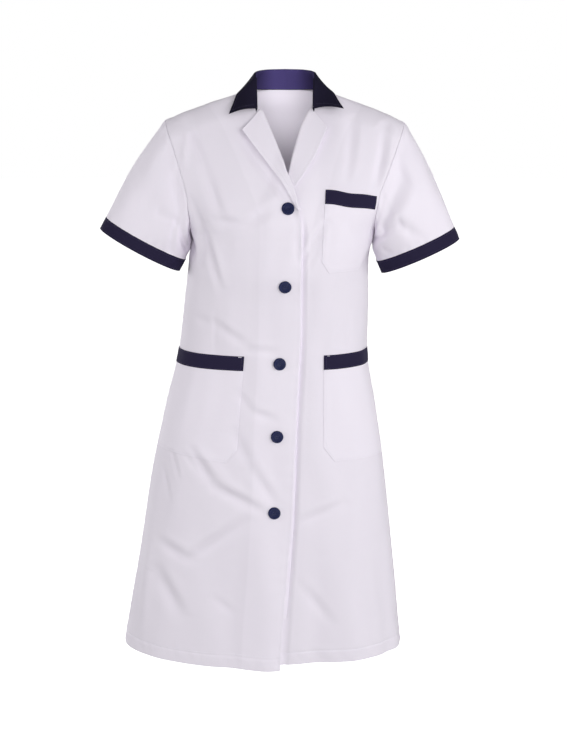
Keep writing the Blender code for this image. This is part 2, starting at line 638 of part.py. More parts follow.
def cuff(name, side, material):
    turns = sleeve_turns()
    _, down_axis = sleeve_axes(side)
    outer, inner = [], []
    for drop in np.linspace(SEAM_GAP, CUFF_HEIGHT, CUFF_ROWS + 1):
        outer.append(sleeve_ring(side, turns, CUFF_PROUD) + down_axis * drop)
        inner.append(sleeve_ring(side, turns, CUFF_PROUD - CUFF_WALL) + down_axis * drop)
    return cloth_wall(name, outer, inner, material, closed=True)


# ---- Lapels: each turns round the edge of its front and lies back on it ----

def lapel(name, side, material):
    shares = np.linspace(0, 1, LAPEL_ROWS + 1)
    lifts = LAPEL_GAP + CLOTH + LAPEL_ROLL * (1 - shares) ** 1.5
    roll_z = lerp(LAPEL_TOP_Z[side], LAPEL_END_Z[side], shares)
    roll_x = edge_at[side](roll_z)
    corners = LAPEL_EDGE[side]
    steps = [0.0] + [np.hypot(b.x - a.x, b.z - a.z) for a, b in zip(corners, corners[1:])]
    knots = np.cumsum(steps) / np.sum(steps)
    edge_x = curve_through(knots, [corner.x for corner in corners])(shares)
    edge_z = curve_through(knots, [corner.z for corner in corners])(shares)
    along = ways_along(cloth(side, FRONT, angle_at(side, roll_x, roll_z), roll_z)[0], 0)
    outer, inner = [], []
    for i, lift in enumerate(lifts):
        radius = CLOTH / 2 + lift
        rim, out = cloth(side, FRONT, angle_at(side, roll_x[i], roll_z[i]), roll_z[i])
        beyond = unit(np.cross(along[i], out)) * side
        middle = rim - out * CLOTH / 2
        round_edge = [(np.cos(turn) * beyond + np.sin(turn) * out) for turn in np.radians((-15, 15, 45, 70))]
        leaf = np.linspace(0, 1, LAPEL_COLUMNS + 1)
        x, z = lerp(roll_x[i], edge_x[i], leaf), lerp(roll_z[i], edge_z[i], leaf)
        stand_off = LAPEL_STAND_OFF * (1 - shares[i]) ** 2 * leaf ** 1.5
        points, normals = cloth(side, FRONT, angle_at(side, x, z), z, lift + stand_off)
        outer.append(np.array([middle + way * radius for way in round_edge] + list(points)))
        inner.append(np.array([middle + way * (radius - CLOTH) for way in round_edge]
                              + list(points - normals * CLOTH)))
    return cloth_wall(name, outer, inner, material)


# ---- Collar: a stand that folds over at its top into a fall with two points ----

def collar_rib(seam, fold, edge, along, bow):
    """Points across the collar: up the stand, over the fold and down to the outer edge."""
    up = fold - seam
    height = np.linalg.norm(up - along * (along @ up))
    up = unit(up - along * (along @ up))
    away = np.cross(up, along)
    away = away * np.sign(away @ (edge - seam))
    radius = min(COLLAR_FOLD_RADIUS, 0.45 * height)
    heart = fold - up * radius
    over = [heart + radius * (np.sin(turn) * up - np.cos(turn) * away)
            for turn in np.linspace(0, np.pi * 0.85, FOLD_STEPS + 1)]
    stand = [lerp(seam, over[0], share) for share in (0, 0.5)]
    fall = [lerp(over[-1], edge, share) + up * bow * np.sin(np.pi * share) for share in (0.25, 0.5, 0.75, 1)]
    return np.array(stand + over + fall)


def collar(name, material):
    knots = np.linspace(0, 1, len(COLLAR))
    curves = {field: curve_through(knots, [getattr(rib, field) for rib in COLLAR])
              for field in CollarRib._fields}
    places = np.linspace(-1, 1, COLLAR_RIBS + 1)
    mirror = np.stack((np.where(places > 0, 1, -1), np.ones_like(places), np.ones_like(places)), -1)
    seam, fold, edge = (
        mirror * np.stack([curves[part + axis](np.abs(places)) for axis in ("_x", "_y", "_z")], -1)
        for part in ("seam", "fold", "edge"))
    edge[:, 2] += np.where(places > 0, COLLAR_TIP_RISE[1], COLLAR_TIP_RISE[-1]) * np.abs(places) ** 4
    edge[:, 0] += np.where(places > 0, COLLAR_TIP_OUT[1], -COLLAR_TIP_OUT[-1]) * np.abs(places) ** 4
    bows = COLLAR_BOW * np.abs(places) ** COLLAR_BOW_FROM
    ribs = np.array([collar_rib(*rib) for rib in zip(seam, fold, edge, ways_along(fold, 0), bows)])
    normals = unit(np.cross(ways_along(ribs, 0), ways_along(ribs, 1)))
    return cloth_wall(name, ribs, ribs - normals * COLLAR_WALL, material)


# ---- Pockets and bands: cut from the front's own points, and moved out ----

def cut_from(grid, lines):
    """The part of a panel's outside to the left of each line. A line is two points seen from the front."""
    points, normals = grid
    edit = bmesh.new()
    ways = edit.verts.layers.float_vector.new("out")
    skin = []
    for row, out in zip(points, normals):
        skin.append([edit.verts.new(point) for point in row])
        for vert, way in zip(skin[-1], out):
            vert[ways] = way
    for i in range(len(skin) - 1):
        for j in range(len(skin[i]) - 1):
            edit.faces.new((skin[i][j], skin[i][j + 1], skin[i + 1][j + 1]))
            edit.faces.new((skin[i][j], skin[i + 1][j + 1], skin[i + 1][j]))
    for start, end in lines:
        right = Vector((end.z - start.z, 0, start.x - end.x))
        geometry = list(edit.verts) + list(edit.edges) + list(edit.faces)
        bmesh.ops.bisect_plane(edit, geom=geometry, plane_co=(start.x, 0, start.z), plane_no=right,
                               clear_outer=True, dist=1e-6)
    seam = list(edit.verts) + list(edit.edges) + list(edit.faces)
    bmesh.ops.bisect_plane(edit, geom=seam, plane_co=(0, -SIDE_SEAM_MARGIN, 0), plane_no=(0, 1, 0),
                           clear_outer=True, dist=1e-6)
    return edit, ways


def laid_on(name, grid, lines, gap, wall, material):
    """A piece of cloth on a front. The gap leaves room for what is under it."""
    edit, ways = cut_from(grid, lines)
    faces = list(edit.faces)
    rim = [edge for edge in edit.edges if len(edge.link_faces) == 1]
    under, top = {}, {}
    for vert in list(edit.verts):
        out = vert[ways].copy()
        top[vert] = edit.verts.new(vert.co + out * (gap + wall))
        under[vert] = edit.verts.new(vert.co + out * gap)
    for face in faces:
        edit.faces.new([top[vert] for vert in face.verts])
        edit.faces.new([under[vert] for vert in face.verts])
    for edge in rim:
        a, b = edge.verts
        edit.faces.new((top[a], top[b], under[b], under[a]))
    bmesh.ops.delete(edit, geom=list(under), context="VERTS")
    bmesh.ops.recalc_face_normals(edit, faces=edit.faces)
    return add_object(name, edit, material)


def outline(side, corners):
    """The lines round a pocket, from corners given clockwise as seen on the left front."""
    places = [Corner(side * x, z) for x, z in corners][::side]
    return list(zip(places, places[1:] + places[:1]))


def hip_pocket_corners(shape, depth, chamfer):
    """A patch that runs on past the side seam, where it is cut off."""
    def inner(down):
        return shape.inner_x + shape.inner_lean * down / shape.depth

    bottom = shape.top_z - depth
    cut_x, cut_z, rise = (shape.chamfer_x, shape.chamfer_z, shape.bottom_rise) if chamfer else (0, 0, 0)
    corners = [(inner(depth) + cut_x, bottom), (HIP_POCKET_FAR, bottom + rise),
               (HIP_POCKET_FAR, shape.top_z), (shape.inner_x, shape.top_z)]
    return corners + ([(inner(depth - cut_z), bottom + cut_z)] if chamfer else [])


def chest_pocket_corners(depth, chamfer):
    shape, full = CHEST_POCKET, CHEST_POCKET.depth
    fall = shape.top_z - shape.outer_top_z

    def inner(down):
        return shape.inner_x - shape.inner_lean * down / full

    def outer(down):
        return shape.outer_x - shape.outer_lean * down / full

    cut_x, cut_z = (shape.chamfer_x, shape.chamfer_z) if chamfer else (0, 0)
    corners = [(inner(depth) + cut_x, shape.top_z - depth),
               (outer(depth) - cut_x, shape.outer_top_z - depth + (fall if chamfer else 0))]
    if chamfer:
        corners.append((outer(depth - cut_z), shape.top_z - depth + cut_z))
    corners += [(outer(0), shape.outer_top_z), (inner(0), shape.top_z)]
    if chamfer:
        corners.append((inner(depth - cut_z), shape.top_z - depth + cut_z))
    return corners


def pockets(grids, white, navy):
    over_pocket = SEAM_GAP + TRIM + SEAM_GAP
    for name, side in SIDES.items():
        shape = HIP_POCKETS[side]
        patch = outline(side, hip_pocket_corners(shape, shape.depth, True))
        laid_on("hip_pocket_" + name, grids[side], patch, SEAM_GAP, TRIM, white)
        band = outline(side, hip_pocket_corners(shape, shape.band, False))
        laid_on("hip_pocket_band_" + name, grids[side], band, over_pocket, TRIM, navy)
    patch = outline(1, chest_pocket_corners(CHEST_POCKET.depth, True))
    laid_on("chest_pocket", grids[1], patch, SEAM_GAP, TRIM, white)
    band = outline(1, chest_pocket_corners(CHEST_POCKET.band, False))
    laid_on("chest_pocket_band", grids[1], band, over_pocket, TRIM, navy)


# ---- Buttons ----

def button(name, place, material):
    """A turned button with a raised rim, on the overlap of the fronts."""
    rim = BUTTON_THICKNESS
    profile = (   # radius and height, from the middle of the dish round to the middle of the back
        (0.0, rim - BUTTON_DISH_DEPTH), (BUTTON_DISH_RADIUS * 0.85, rim - BUTTON_DISH_DEPTH),
        (BUTTON_DISH_RADIUS, rim), (BUTTON_RADIUS * 0.86, rim),
        (BUTTON_RADIUS, rim * 0.55), (BUTTON_RADIUS * 0.92, 0.0), (0.0, 0.0),
    )
    edit = bmesh.new()
    verts = [edit.verts.new((radius, 0, height)) for radius, height in profile]
    edges = [edit.edges.new(pair) for pair in zip(verts, verts[1:])]
    bmesh.ops.spin(edit, geom=verts + edges, axis=(0, 0, 1), cent=(0, 0, 0),
                   steps=BUTTON_SIDES, angle=2 * np.pi, use_merge=True)
    bmesh.ops.remove_doubles(edit, verts=edit.verts, dist=1e-6)
    bmesh.ops.recalc_face_normals(edit, faces=edit.faces)
    obj = add_object(name, edit, material)
    angle = angle_at(-1, place.x, place.z)
    point, out = cloth(-1, FRONT, angle, place.z, SEAM_GAP + 0.0007)
    obj.rotation_mode = "QUATERNION"
    obj.rotation_quaternion = Vector(out).to_track_quat("Z", "Y")
    obj.location = Vector(point)
    return obj


def build():
    clear_scene()
    white = make_material("white_twill", WHITE, 0.85)
    navy = make_material("navy_twill", NAVY, 0.80)
    blue = make_material("button_resin", BUTTON_BLUE, 0.30)
    grids = {side: front_grid(side) for side in SIDES.values()}
    panel("back", back_grid(), white)
    for name, side in SIDES.items():
        panel("front_" + name, grids[side], white)
        sleeve("sleeve_" + name, side, white)
        cuff("cuff_" + name, side, navy)
        lapel("lapel_" + name, side, white)
    collar("collar", navy)
    pockets(grids, white, navy)
    for number, place in enumerate(BUTTONS, start=1):
        button(f"button_{number}", place, blue)


build()
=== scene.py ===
import bmesh
import bpy
import numpy as np
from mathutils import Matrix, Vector


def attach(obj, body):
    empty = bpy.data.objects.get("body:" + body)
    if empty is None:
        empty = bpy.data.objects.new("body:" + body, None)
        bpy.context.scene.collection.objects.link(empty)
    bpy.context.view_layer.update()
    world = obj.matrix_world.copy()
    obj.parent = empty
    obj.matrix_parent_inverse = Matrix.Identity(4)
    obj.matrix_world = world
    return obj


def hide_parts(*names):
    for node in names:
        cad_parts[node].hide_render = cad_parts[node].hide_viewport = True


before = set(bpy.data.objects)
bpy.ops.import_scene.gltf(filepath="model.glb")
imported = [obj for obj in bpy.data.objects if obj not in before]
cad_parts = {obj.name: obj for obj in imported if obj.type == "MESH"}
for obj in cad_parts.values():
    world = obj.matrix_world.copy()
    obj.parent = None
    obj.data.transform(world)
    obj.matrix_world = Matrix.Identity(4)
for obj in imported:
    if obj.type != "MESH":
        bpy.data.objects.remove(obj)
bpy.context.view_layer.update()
print("frame loaded:", len(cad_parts), "solids")

# Metres, +Z up, the front faces -Y, and side is -1 for the wearer's right and +1 for the left.
front, back = -1, 1
sides = {"right": -1, "left": 1}


# Camera, stage and light

photoView = {
    "lens": 88.0,                       # mm, on a 36 mm sensor
    "distance": 3.15,
    "pitch": 11.5,                      # degrees down
    "aim": (-0.0025, 0.0, -0.482),
}
studio = {
    "floorHeight": -1.44,
    "floorSize": 14.0,
    "floorHex": "FAFAFA",
    "skyHex": "FFFFFF",
    "sky": 0.25,                        # how strongly the white room lights the cloth
    "lamps": (
        # place, size, watts
        ((0.0, -3.2, 0.0), 2.0, 33.0),
        ((1.9, -2.6, 0.2), 1.6, 33.0),
        ((1.9, -2.2, 1.6), 1.6, 10.0),
        ((2.8, -0.6, 0.0), 1.6, 14.5),
        ((-2.8, -0.6, 0.0), 1.6, 25.0),
        ((-2.2, 2.4, 0.1), 1.6, 32.0),  # two behind, for the back alone
        ((2.2, 2.4, -0.3), 1.6, 9.0),
    ),
    # a small lamp looks down into the neck and lights the inside of the back alone
    "neckLamp": {"place": (0.0, -2.30, 0.62), "aim": (0.0, 0.075, -0.024), "cone": 3.5, "watts": 215.0,
                 "size": 0.06, "lights": ("back_cloth", "collar_cloth")},
}


def linearColour(hexCode):
    parts = [int(hexCode[i:i + 2], 16) / 255 for i in (0, 2, 4)]
    return tuple(p / 12.92 if p <= 0.04045 else ((p + 0.055) / 1.055) ** 2.4 for p in parts) + (1.0,)


def plug(tree, node, inputs):
    for name, value in inputs.items():
        if isinstance(value, bpy.types.NodeSocket):
            tree.links.new(value, node.inputs[name])
        else:
            node.inputs[name].default_value = value
    return node


def addNode(tree, kind, inputs=None, **settings):
    node = tree.nodes.new(kind)
    for name, value in settings.items():
        setattr(node, name, value)
    return plug(tree, node, inputs or {})


def newMaterial(name):
    material = bpy.data.materials.new(name)
    material.use_nodes = True
    return material, material.node_tree, material.node_tree.nodes["Principled BSDF"]


def makeCamera():
    data = bpy.data.cameras.new("photoCamera")
    camera = bpy.data.objects.new("photoCamera", data)
    bpy.context.scene.collection.objects.link(camera)
    data.lens, data.sensor_width = photoView["lens"], 36.0
    data.clip_start, data.clip_end = 0.05, 60.0
    pitch = np.radians(photoView["pitch"])
    ahead = Vector((0, np.cos(pitch), -np.sin(pitch)))
    camera.location = Vector(photoView["aim"]) - photoView["distance"] * ahead
    camera.rotation_euler = (np.pi / 2 - pitch, 0, 0)
    bpy.context.scene.camera = camera


def hangLamp(lamp, place, aim):
    holder = bpy.data.objects.new(lamp.name, lamp)
    bpy.context.scene.collection.objects.link(holder)
    holder.location = place
    holder.rotation_mode = "QUATERNION"
    holder.rotation_quaternion = (Vector(aim) - Vector(place)).to_track_quat("-Z", "Y")
    return holder


def makeStudio():
    scene = bpy.context.scene
    scene.view_settings.view_transform = "Standard"
    scene.view_settings.look = "None"
    world = bpy.data.worlds.new("whiteRoom")
    scene.world = world
    world.use_nodes = True
    tree = world.node_tree
    tree.nodes.clear()
    seen = addNode(tree, "ShaderNodeLightPath").outputs["Is Camera Ray"]
    room = addNode(tree, "ShaderNodeBackground", {0: linearColour(studio["skyHex"]), 1: studio["sky"]})
    white = addNode(tree, "ShaderNodeBackground", {0: (1, 1, 1, 1), 1: 1.0})
    mixed = addNode(tree, "ShaderNodeMixShader", {0: seen, 1: room.outputs[0], 2: white.outputs[0]})
    addNode(tree, "ShaderNodeOutputWorld", {0: mixed.outputs[0]})

    # Matt white paper that glows a little, so that the floor melts into the white room.
    paper, tree, shader = newMaterial("mattWhitePaper")
    white = linearColour(studio["floorHex"])
    plug(tree, shader, {"Base Color": white, "Roughness": 0.9,
                        "Emission Color": white, "Emission Strength": 1.0})
    edit = bmesh.new()
    bmesh.ops.create_circle(edit, cap_ends=True, segments=64, radius=studio["floorSize"])
    mesh = bpy.data.meshes.new("floor")
    edit.to_mesh(mesh)
    edit.free()
    mesh.materials.append(paper)
    floor = bpy.data.objects.new("floor", mesh)
    scene.collection.objects.link(floor)
    floor.location.z = studio["floorHeight"]
    floor.visible_diffuse = False

    for i, (place, size, watts) in enumerate(studio["lamps"]):
        lamp = bpy.data.lights.new(f"softbox{i}", "AREA")
        lamp.size, lamp.energy = size, watts
        hangLamp(lamp, place, (0, 0, -0.45))
    neck = studio["neckLamp"]
    lamp = bpy.data.lights.new("neckLamp", "SPOT")
    lamp.energy, lamp.spot_size = neck["watts"], np.radians(neck["cone"])
    lamp.spot_blend, lamp.shadow_soft_size = 1.0, neck["size"]
    return hangLamp(lamp, neck["place"], neck["aim"])


makeCamera()
neckLamp = makeStudio()
print("camera and studio set")


# Smooth curves and small sums

def curveThrough(knots, values):
    knots, values = np.asarray(knots, float), np.asarray(values, float)
    steps = np.diff(knots)
    slopes = np.diff(values) / steps
    turning = slopes[:-1] * slopes[1:] <= 0
    with np.errstate(divide="ignore", invalid="ignore"):
        inner = 2 * slopes[:-1] * slopes[1:] / (slopes[:-1] + slopes[1:])
    tangents = np.concatenate((slopes[:1], np.where(turning, 0, inner), slopes[-1:]))

    def value(at):
        at = np.clip(at, knots[0], knots[-1])
        i = np.clip(np.searchsorted(knots, at) - 1, 0, len(steps) - 1)
        s = (at - knots[i]) / steps[i]
        return (values[i] * (1 + 2 * s) * (1 - s) ** 2
                + values[i + 1] * s * s * (3 - 2 * s)
                + steps[i] * (tangents[i] * s * (1 - s) ** 2 + tangents[i + 1] * s * s * (s - 1)))

    return value


def smoothStep(low, high, at):
    s = np.clip((np.asarray(at, float) - low) / (high - low), 0, 1)
    return s * s * (3 - 2 * s)


def bell(away, width):
    return np.exp(-((away / width) ** 2))


def signedPower(value, power):
    return np.sign(value) * np.abs(value) ** power


def lerp(a, b, share):
    return a + (b - a) * share


def unit(vectors):
    return vectors / np.maximum(np.linalg.norm(vectors, axis=-1, keepdims=True), 1e-9)


def waysAlong(points, axis):
    steps = unit(np.diff(points, axis=axis))
    first, last = np.take(steps, [0], axis), np.take(steps, [-1], axis)
    return unit(np.concatenate((first, steps), axis) + np.concatenate((steps, last), axis))


def sharesWith(count, near=(), far=()):       # even shares from 0 to 1, with some more near either end
    return np.unique(np.concatenate((np.linspace(0, 1, count + 1), near, 1 - np.asarray(far, float))))


# The worn body

cloth = {
    "wall": 0.0009,                     # real twill is 0.4 mm, and its turned edges are about this
    "edge": 0.0014,                     # with the facing inside it
    "solidWall": 0.0015,                # the wall of the solids, which the lapels' rolls go round
    "seamGap": 0.0003,
}
bodyCut = {
    "sections": (
        # height, centre, half width, front, back
        (-0.960, -0.0390, 0.2430, 0.1300, 0.1350),
        (-0.860, -0.0360, 0.2290, 0.1260, 0.1300),
        (-0.747, -0.0310, 0.2140, 0.1210, 0.1240),
        (-0.633, -0.0280, 0.1975, 0.1160, 0.1160),
        (-0.520, -0.0245, 0.1780, 0.1100, 0.1020),
        (-0.423, -0.0195, 0.1585, 0.1060, 0.0880),
        (-0.340, -0.0145, 0.1540, 0.1120, 0.0870),
        (-0.286, -0.0110, 0.1515, 0.1200, 0.0940),
        (-0.228, -0.0050, 0.1560, 0.1220, 0.1010),
        (-0.180, -0.0035, 0.1830, 0.1130, 0.1060),
        (-0.136, -0.0020, 0.2050, 0.0930, 0.1050),
        (-0.090, +0.0000, 0.2230, 0.0680, 0.0980),
        (-0.050, +0.0000, 0.2350, 0.0440, 0.0860),
        (-0.020, +0.0000, 0.2400, 0.0260, 0.0700),
        (+0.012, +0.0000, 0.2400, 0.0120, 0.0560),
    ),
    "squareness": 2.3,
    "neckX": 0.0640, "neckZ": 0.0020,
    "tipX": 0.1980, "tipZ": {-1: -0.0465, 1: -0.0495},
    "crown": 0.0030,
    "backNeckZ": 0.0010,
    "neckRise": 1.5,
    "ridgeRound": 0.0350,
    "underarmZ": -0.2280,
    "armholeAngle": np.radians(37.8),
    "hemSide": {-1: -0.9450, 1: -0.9490},
    "hemEdge": {-1: -0.9585, 1: -0.9495},
    "hemMiddle": -0.9520,
    "rise": 0.72,                       # from the hem to the armholes
    "edges": (
        # height, x of the right front's edge, x of the left front's edge; then the roll lines
        (-0.9600, -0.0090, -0.0640),
        (-0.8900, -0.0050, -0.0590),
        (-0.8070, +0.0020, -0.0520),
        (-0.6860, +0.0110, -0.0430),
        (-0.5440, +0.0165, -0.0370),
        (-0.4500, +0.0215, -0.0330),
        (-0.3740, +0.0245, -0.0270),
        (-0.2830, +0.0250, -0.0240),
        (-0.2290, +0.0258, -0.0220),
        (-0.1900, +0.0232, -0.0178),
        (-0.1700, +0.0179, -0.0110),
        (-0.1500, +0.0112, -0.0020),
        (-0.1365, +0.0055, +0.0055),
        (-0.1250, +0.0004, +0.0082),
        (-0.1080, -0.0055, +0.0124),
        (-0.0880, -0.0134, +0.0184),
        (-0.0550, -0.0281, +0.0289),
        (-0.0400, -0.0352, +0.0364),
        (-0.0250, -0.0440, +0.0450),
        (+0.0020, -0.0640, +0.0640),
    ),
    "stripLeast": 0.0300, "stripLevel": (-0.140, -0.040),
    "lapRamp": (0.034, 0.005),
    "lapLift": 0.0025, "lapFade": (-0.085, -0.040),     # the right front clears the left one, up to the neck
    # the left front sinks beside the right one's edge: how far out, width, depth, and where it ends above
    "lapGroove": (0.0044, 0.0034, 0.0052, -0.225, -0.185),
    "lapelLift": 0.0032, "lapelSpan": (-0.235, -0.195, -0.105, -0.060),
    "foldEnd": 0.35,                    # how much of its depth a fold keeps at its ends
    # around is in quarter turns: 0 middle front, 1 left side seam, -1 right side seam, 2 middle back
    "folds": (
        # around and height of the start and of the end, width, depth, lip
        (-0.541, -0.589, -0.356, -0.645, 0.0090, -0.0052, 0.45),  # drags from the hip pocket
        (-0.356, -0.645, -0.034, -0.685, 0.0090, -0.0048, 0.45),
        (-0.435, -0.592, -0.209, -0.649, 0.0090, +0.0030, 0.0),
        (-0.252, -0.551, -0.110, -0.614, 0.0090, -0.0036, 0.40),
        (-0.110, -0.614, +0.035, -0.667, 0.0090, -0.0046, 0.40),
        (-0.697, -0.749, -0.467, -0.773, 0.0100, -0.0038, 0.40),  # sag below the last button
        (-0.467, -0.773, -0.134, -0.698, 0.0100, -0.0040, 0.40),
        (-0.676, -0.802, -0.490, -0.867, 0.0130, -0.0054, 0.35),
        (-0.295, -0.835, -0.194, -0.860, 0.0070, -0.0022, 0.30),
        (-0.709, -0.592, -0.613, -0.636, 0.0045, -0.0020, 0.30),  # gathers under the pocket
        (-0.773, -0.622, -0.661, -0.676, 0.0050, -0.0018, 0.30),
        (-0.603, -0.591, -0.492, -0.622, 0.0045, -0.0018, 0.30),
        (-0.804, -0.718, -0.733, -0.899, 0.0140, +0.0040, 0.0),
        (-0.182, -0.768, -0.143, -1.048, 0.0280, -0.0068, 0.0),   # flutes of the skirt
        (-0.003, -0.733, +0.055, -1.084, 0.0220, +0.0065, 0.0),
        (+0.317, -0.770, +0.287, -1.068, 0.0260, -0.0065, 0.0),
        (+0.525, -0.748, +0.518, -1.075, 0.0260, +0.0050, 0.0),
        (+0.753, -0.759, +0.793, -1.095, 0.0180, -0.0040, 0.0),
        (+0.207, -0.705, +0.494, -0.675, 0.0080, -0.0028, 0.30),
        (+0.209, -0.811, +0.397, -0.879, 0.0090, -0.0026, 0.30),
        (-0.517, -0.371, -0.228, -0.406, 0.0080, -0.0026, 0.40),  # waist
        (-0.252, -0.486, -0.133, -0.517, 0.0070, -0.0028, 0.40),
        (-0.133, -0.517, +0.029, -0.530, 0.0070, -0.0028, 0.40),
        (-0.225, -0.414, +0.022, -0.417, 0.0070, -0.0020, 0.35),
        (-0.699, -0.367, -0.560, -0.372, 0.0080, -0.0016, 0.35),
        (-0.517, -0.351, -0.485, -0.432, 0.0045, -0.0012, 0.0),   # front darts
        (+0.645, -0.344, +0.658, -0.432, 0.0045, -0.0012, 0.0),
        (-0.236, -0.074, -0.134, -0.118, 0.0085, -0.0040, 0.0),   # beside the right lapel
        (-0.134, -0.118, +0.040, -0.172, 0.0085, -0.0046, 0.0),
        (-0.550, -0.050, -0.488, -0.122, 0.0090, -0.0042, 0.35),  # across the right chest
        (-0.488, -0.122, -0.458, -0.190, 0.0100, -0.0042, 0.35),
        (-0.516, -0.204, -0.279, -0.205, 0.0085, -0.0040, 0.35),
        (-0.279, -0.205, -0.048, -0.179, 0.0085, -0.0036, 0.35),
        (-0.670, -0.227, -0.499, -0.310, 0.0080, -0.0046, 0.40),  # slack down the side
        (-0.653, -0.171, -0.711, -0.273, 0.0090, -0.0044, 0.30),
        (-0.557, -0.063, -0.626, -0.117, 0.0060, +0.0028, 0.0),
        (-0.780, -0.120, -0.900, -0.215, 0.0110, -0.0060, 0.0),
        (-1.000, -0.236, -0.780, -0.262, 0.0160, -0.0070, 0.0),   # hollows under the arms
        (+1.000, -0.262, +0.780, -0.285, 0.0160, -0.0040, 0.0),
        (+0.367, -0.043, +0.394, -0.140, 0.0080, -0.0030, 0.35),  # left chest
        (+0.559, -0.056, +0.609, -0.154, 0.0080, -0.0048, 0.45),
        (+0.626, -0.069, +0.677, -0.152, 0.0070, +0.0028, 0.0),
        (+0.334, -0.205, +0.205, -0.266, 0.0080, -0.0042, 0.35),  # beside the chest pocket
        (+0.329, -0.231, +0.248, -0.280, 0.0050, -0.0020, 0.30),
        (+0.038, -0.161, +0.112, -0.208, 0.0050, -0.0030, 0.0),   # beside the right front's edge
        (+0.112, -0.208, +0.146, -0.266, 0.0050, -0.0028, 0.0),
        (+0.466, -0.192, +0.681, -0.252, 0.0120, -0.0018, 0.0),
        (+1.380, -0.620, +1.350, -1.120, 0.034, -0.0085, 0.0),    # flutes of the skirt, back
        (+1.640, -0.560, +1.660, -1.120, 0.034, +0.0080, 0.0),
        (-1.400, -0.640, -1.370, -1.120, 0.032, -0.0080, 0.0),
        (-1.660, -0.580, -1.680, -1.120, 0.034, +0.0075, 0.0),
        (+2.000, -0.540, +2.000, -1.120, 0.030, -0.0070, 0.0),
        (+1.260, -0.150, +1.500, -0.330, 0.020, -0.0045, 0.25),   # slack at the back of the armholes
        (-1.260, -0.150, -1.500, -0.330, 0.020, -0.0045, 0.25),
        (+1.180, -0.400, +1.780, -0.440, 0.014, -0.0040, 0.35),   # back of the waist
        (-1.180, -0.410, -1.700, -0.452, 0.014, -0.0040, 0.35),
        (+1.230, -0.452, +1.560, -0.476, 0.010, -0.0024, 0.40),
        (-1.320, -0.372, -1.760, -0.392, 0.010, -0.0022, 0.40),
        (+1.560, -0.200, +1.800, -0.360, 0.012, -0.0022, 0.30),
        (-1.620, -0.240, -1.850, -0.330, 0.012, -0.0020, 0.30),
        (+1.160, -0.560, +1.420, -0.640, 0.012, -0.0030, 0.35),
        (-1.170, -0.600, -1.360, -0.700, 0.012, -0.0026, 0.35),
    ),
    "rows": 215, "armRows": 84,         # below and beside the armholes
    "frontColumns": 62, "stripColumns": 10,
    "backColumns": 36, "neckColumns": 10,
}
drape = {"seed": 11, "waves": 16, "height": 0.00045, "fewest": 6, "most": 30, "upright": 7.0}
seams = {
    "dip": 0.0006, "width": 0.0012,     # the cloth turns in at a seam
    "pucker": 0.00035, "reach": 0.013, "pitch": 0.024,
    "hem": 0.0205, "hemGroove": 0.00045, "hemPuff": 0.00025,
    "hemRows": (0.0007, 0.0020, 0.0045, 0.0080, 0.0120, 0.0160, 0.0185, 0.0197, 0.0203, 0.0209, 0.0218, 0.0235),
    "rope": 0.00038, "ropePitch": 0.021,  # the slanting ripple of a stitched hem
    "edgeStitch": 0.0026, "edgeGroove": 0.00022, "edgeRipple": 0.00030,
    "edgeFade": (-0.205, -0.190), "edgeTop": -0.2,  # where the roll begins
    "facing": {-1: (-0.0763, -0.955, -0.932), 1: (0.0458, -0.949, -0.929)},   # x, foot and top of its sewn end
}


def columnCurve(rows, column):
    return curveThrough([row[0] for row in rows], [row[column] for row in rows])


centreAt = columnCurve(bodyCut["sections"], 1)
halfWidthAt = columnCurve(bodyCut["sections"], 2)
depthAt = {front: columnCurve(bodyCut["sections"], 3), back: columnCurve(bodyCut["sections"], 4)}
edgeAt = {-1: columnCurve(bodyCut["edges"], 1), 1: columnCurve(bodyCut["edges"], 2)}
squareness = bodyCut["squareness"]

quarterAngles = np.linspace(0, np.pi / 2, 181)
typicalWidth, typicalDepth = 0.20, 0.11  # half sizes of a typical section, for lengths along a quarter
quarterPoints = np.stack((typicalWidth * signedPower(np.cos(quarterAngles), 2 / squareness),
                          typicalDepth * signedPower(np.sin(quarterAngles), 2 / squareness)))
quarterShares = np.concatenate(([0], np.cumsum(np.linalg.norm(np.diff(quarterPoints), axis=0))))
quarterOfSize = quarterShares[-1] / (typicalWidth + typicalDepth)
quarterShares = quarterShares / quarterShares[-1]


def ridgeHeight(side, x):                # the shoulder's top over x, and how fast it falls outwards
    c = bodyCut
    out = np.abs(x) - c["neckX"]
    span = c["tipX"] - c["neckX"]
    share = np.clip(out / span, 0, 1)
    slope = np.where(out > 0, (c["neckZ"] - c["tipZ"][side]) / span, c["neckRise"])
    bend = np.where(share > 0, c["crown"] * np.pi / span * np.cos(np.pi * share), 0)
    return c["neckZ"] - out * slope + c["crown"] * np.sin(np.pi * share), slope - bend


def angleAt(side, x, height):
    share = np.clip(side * (x - centreAt(height)) / halfWidthAt(height), -1, 1)
    return np.arccos(signedPower(share, squareness / 2))


def xAt(side, angle, height):
    return centreAt(height) + side * halfWidthAt(height) * signedPower(np.cos(angle), 2 / squareness)


def quarterShare(angle):
    share = np.interp(np.minimum(angle, np.pi - angle), quarterAngles, quarterShares)
    return np.where(angle > np.pi / 2, 2 - share, share)


def quarterLength(height):
    return quarterOfSize * (halfWidthAt(height) + (depthAt[front](height) + depthAt[back](height)) / 2)


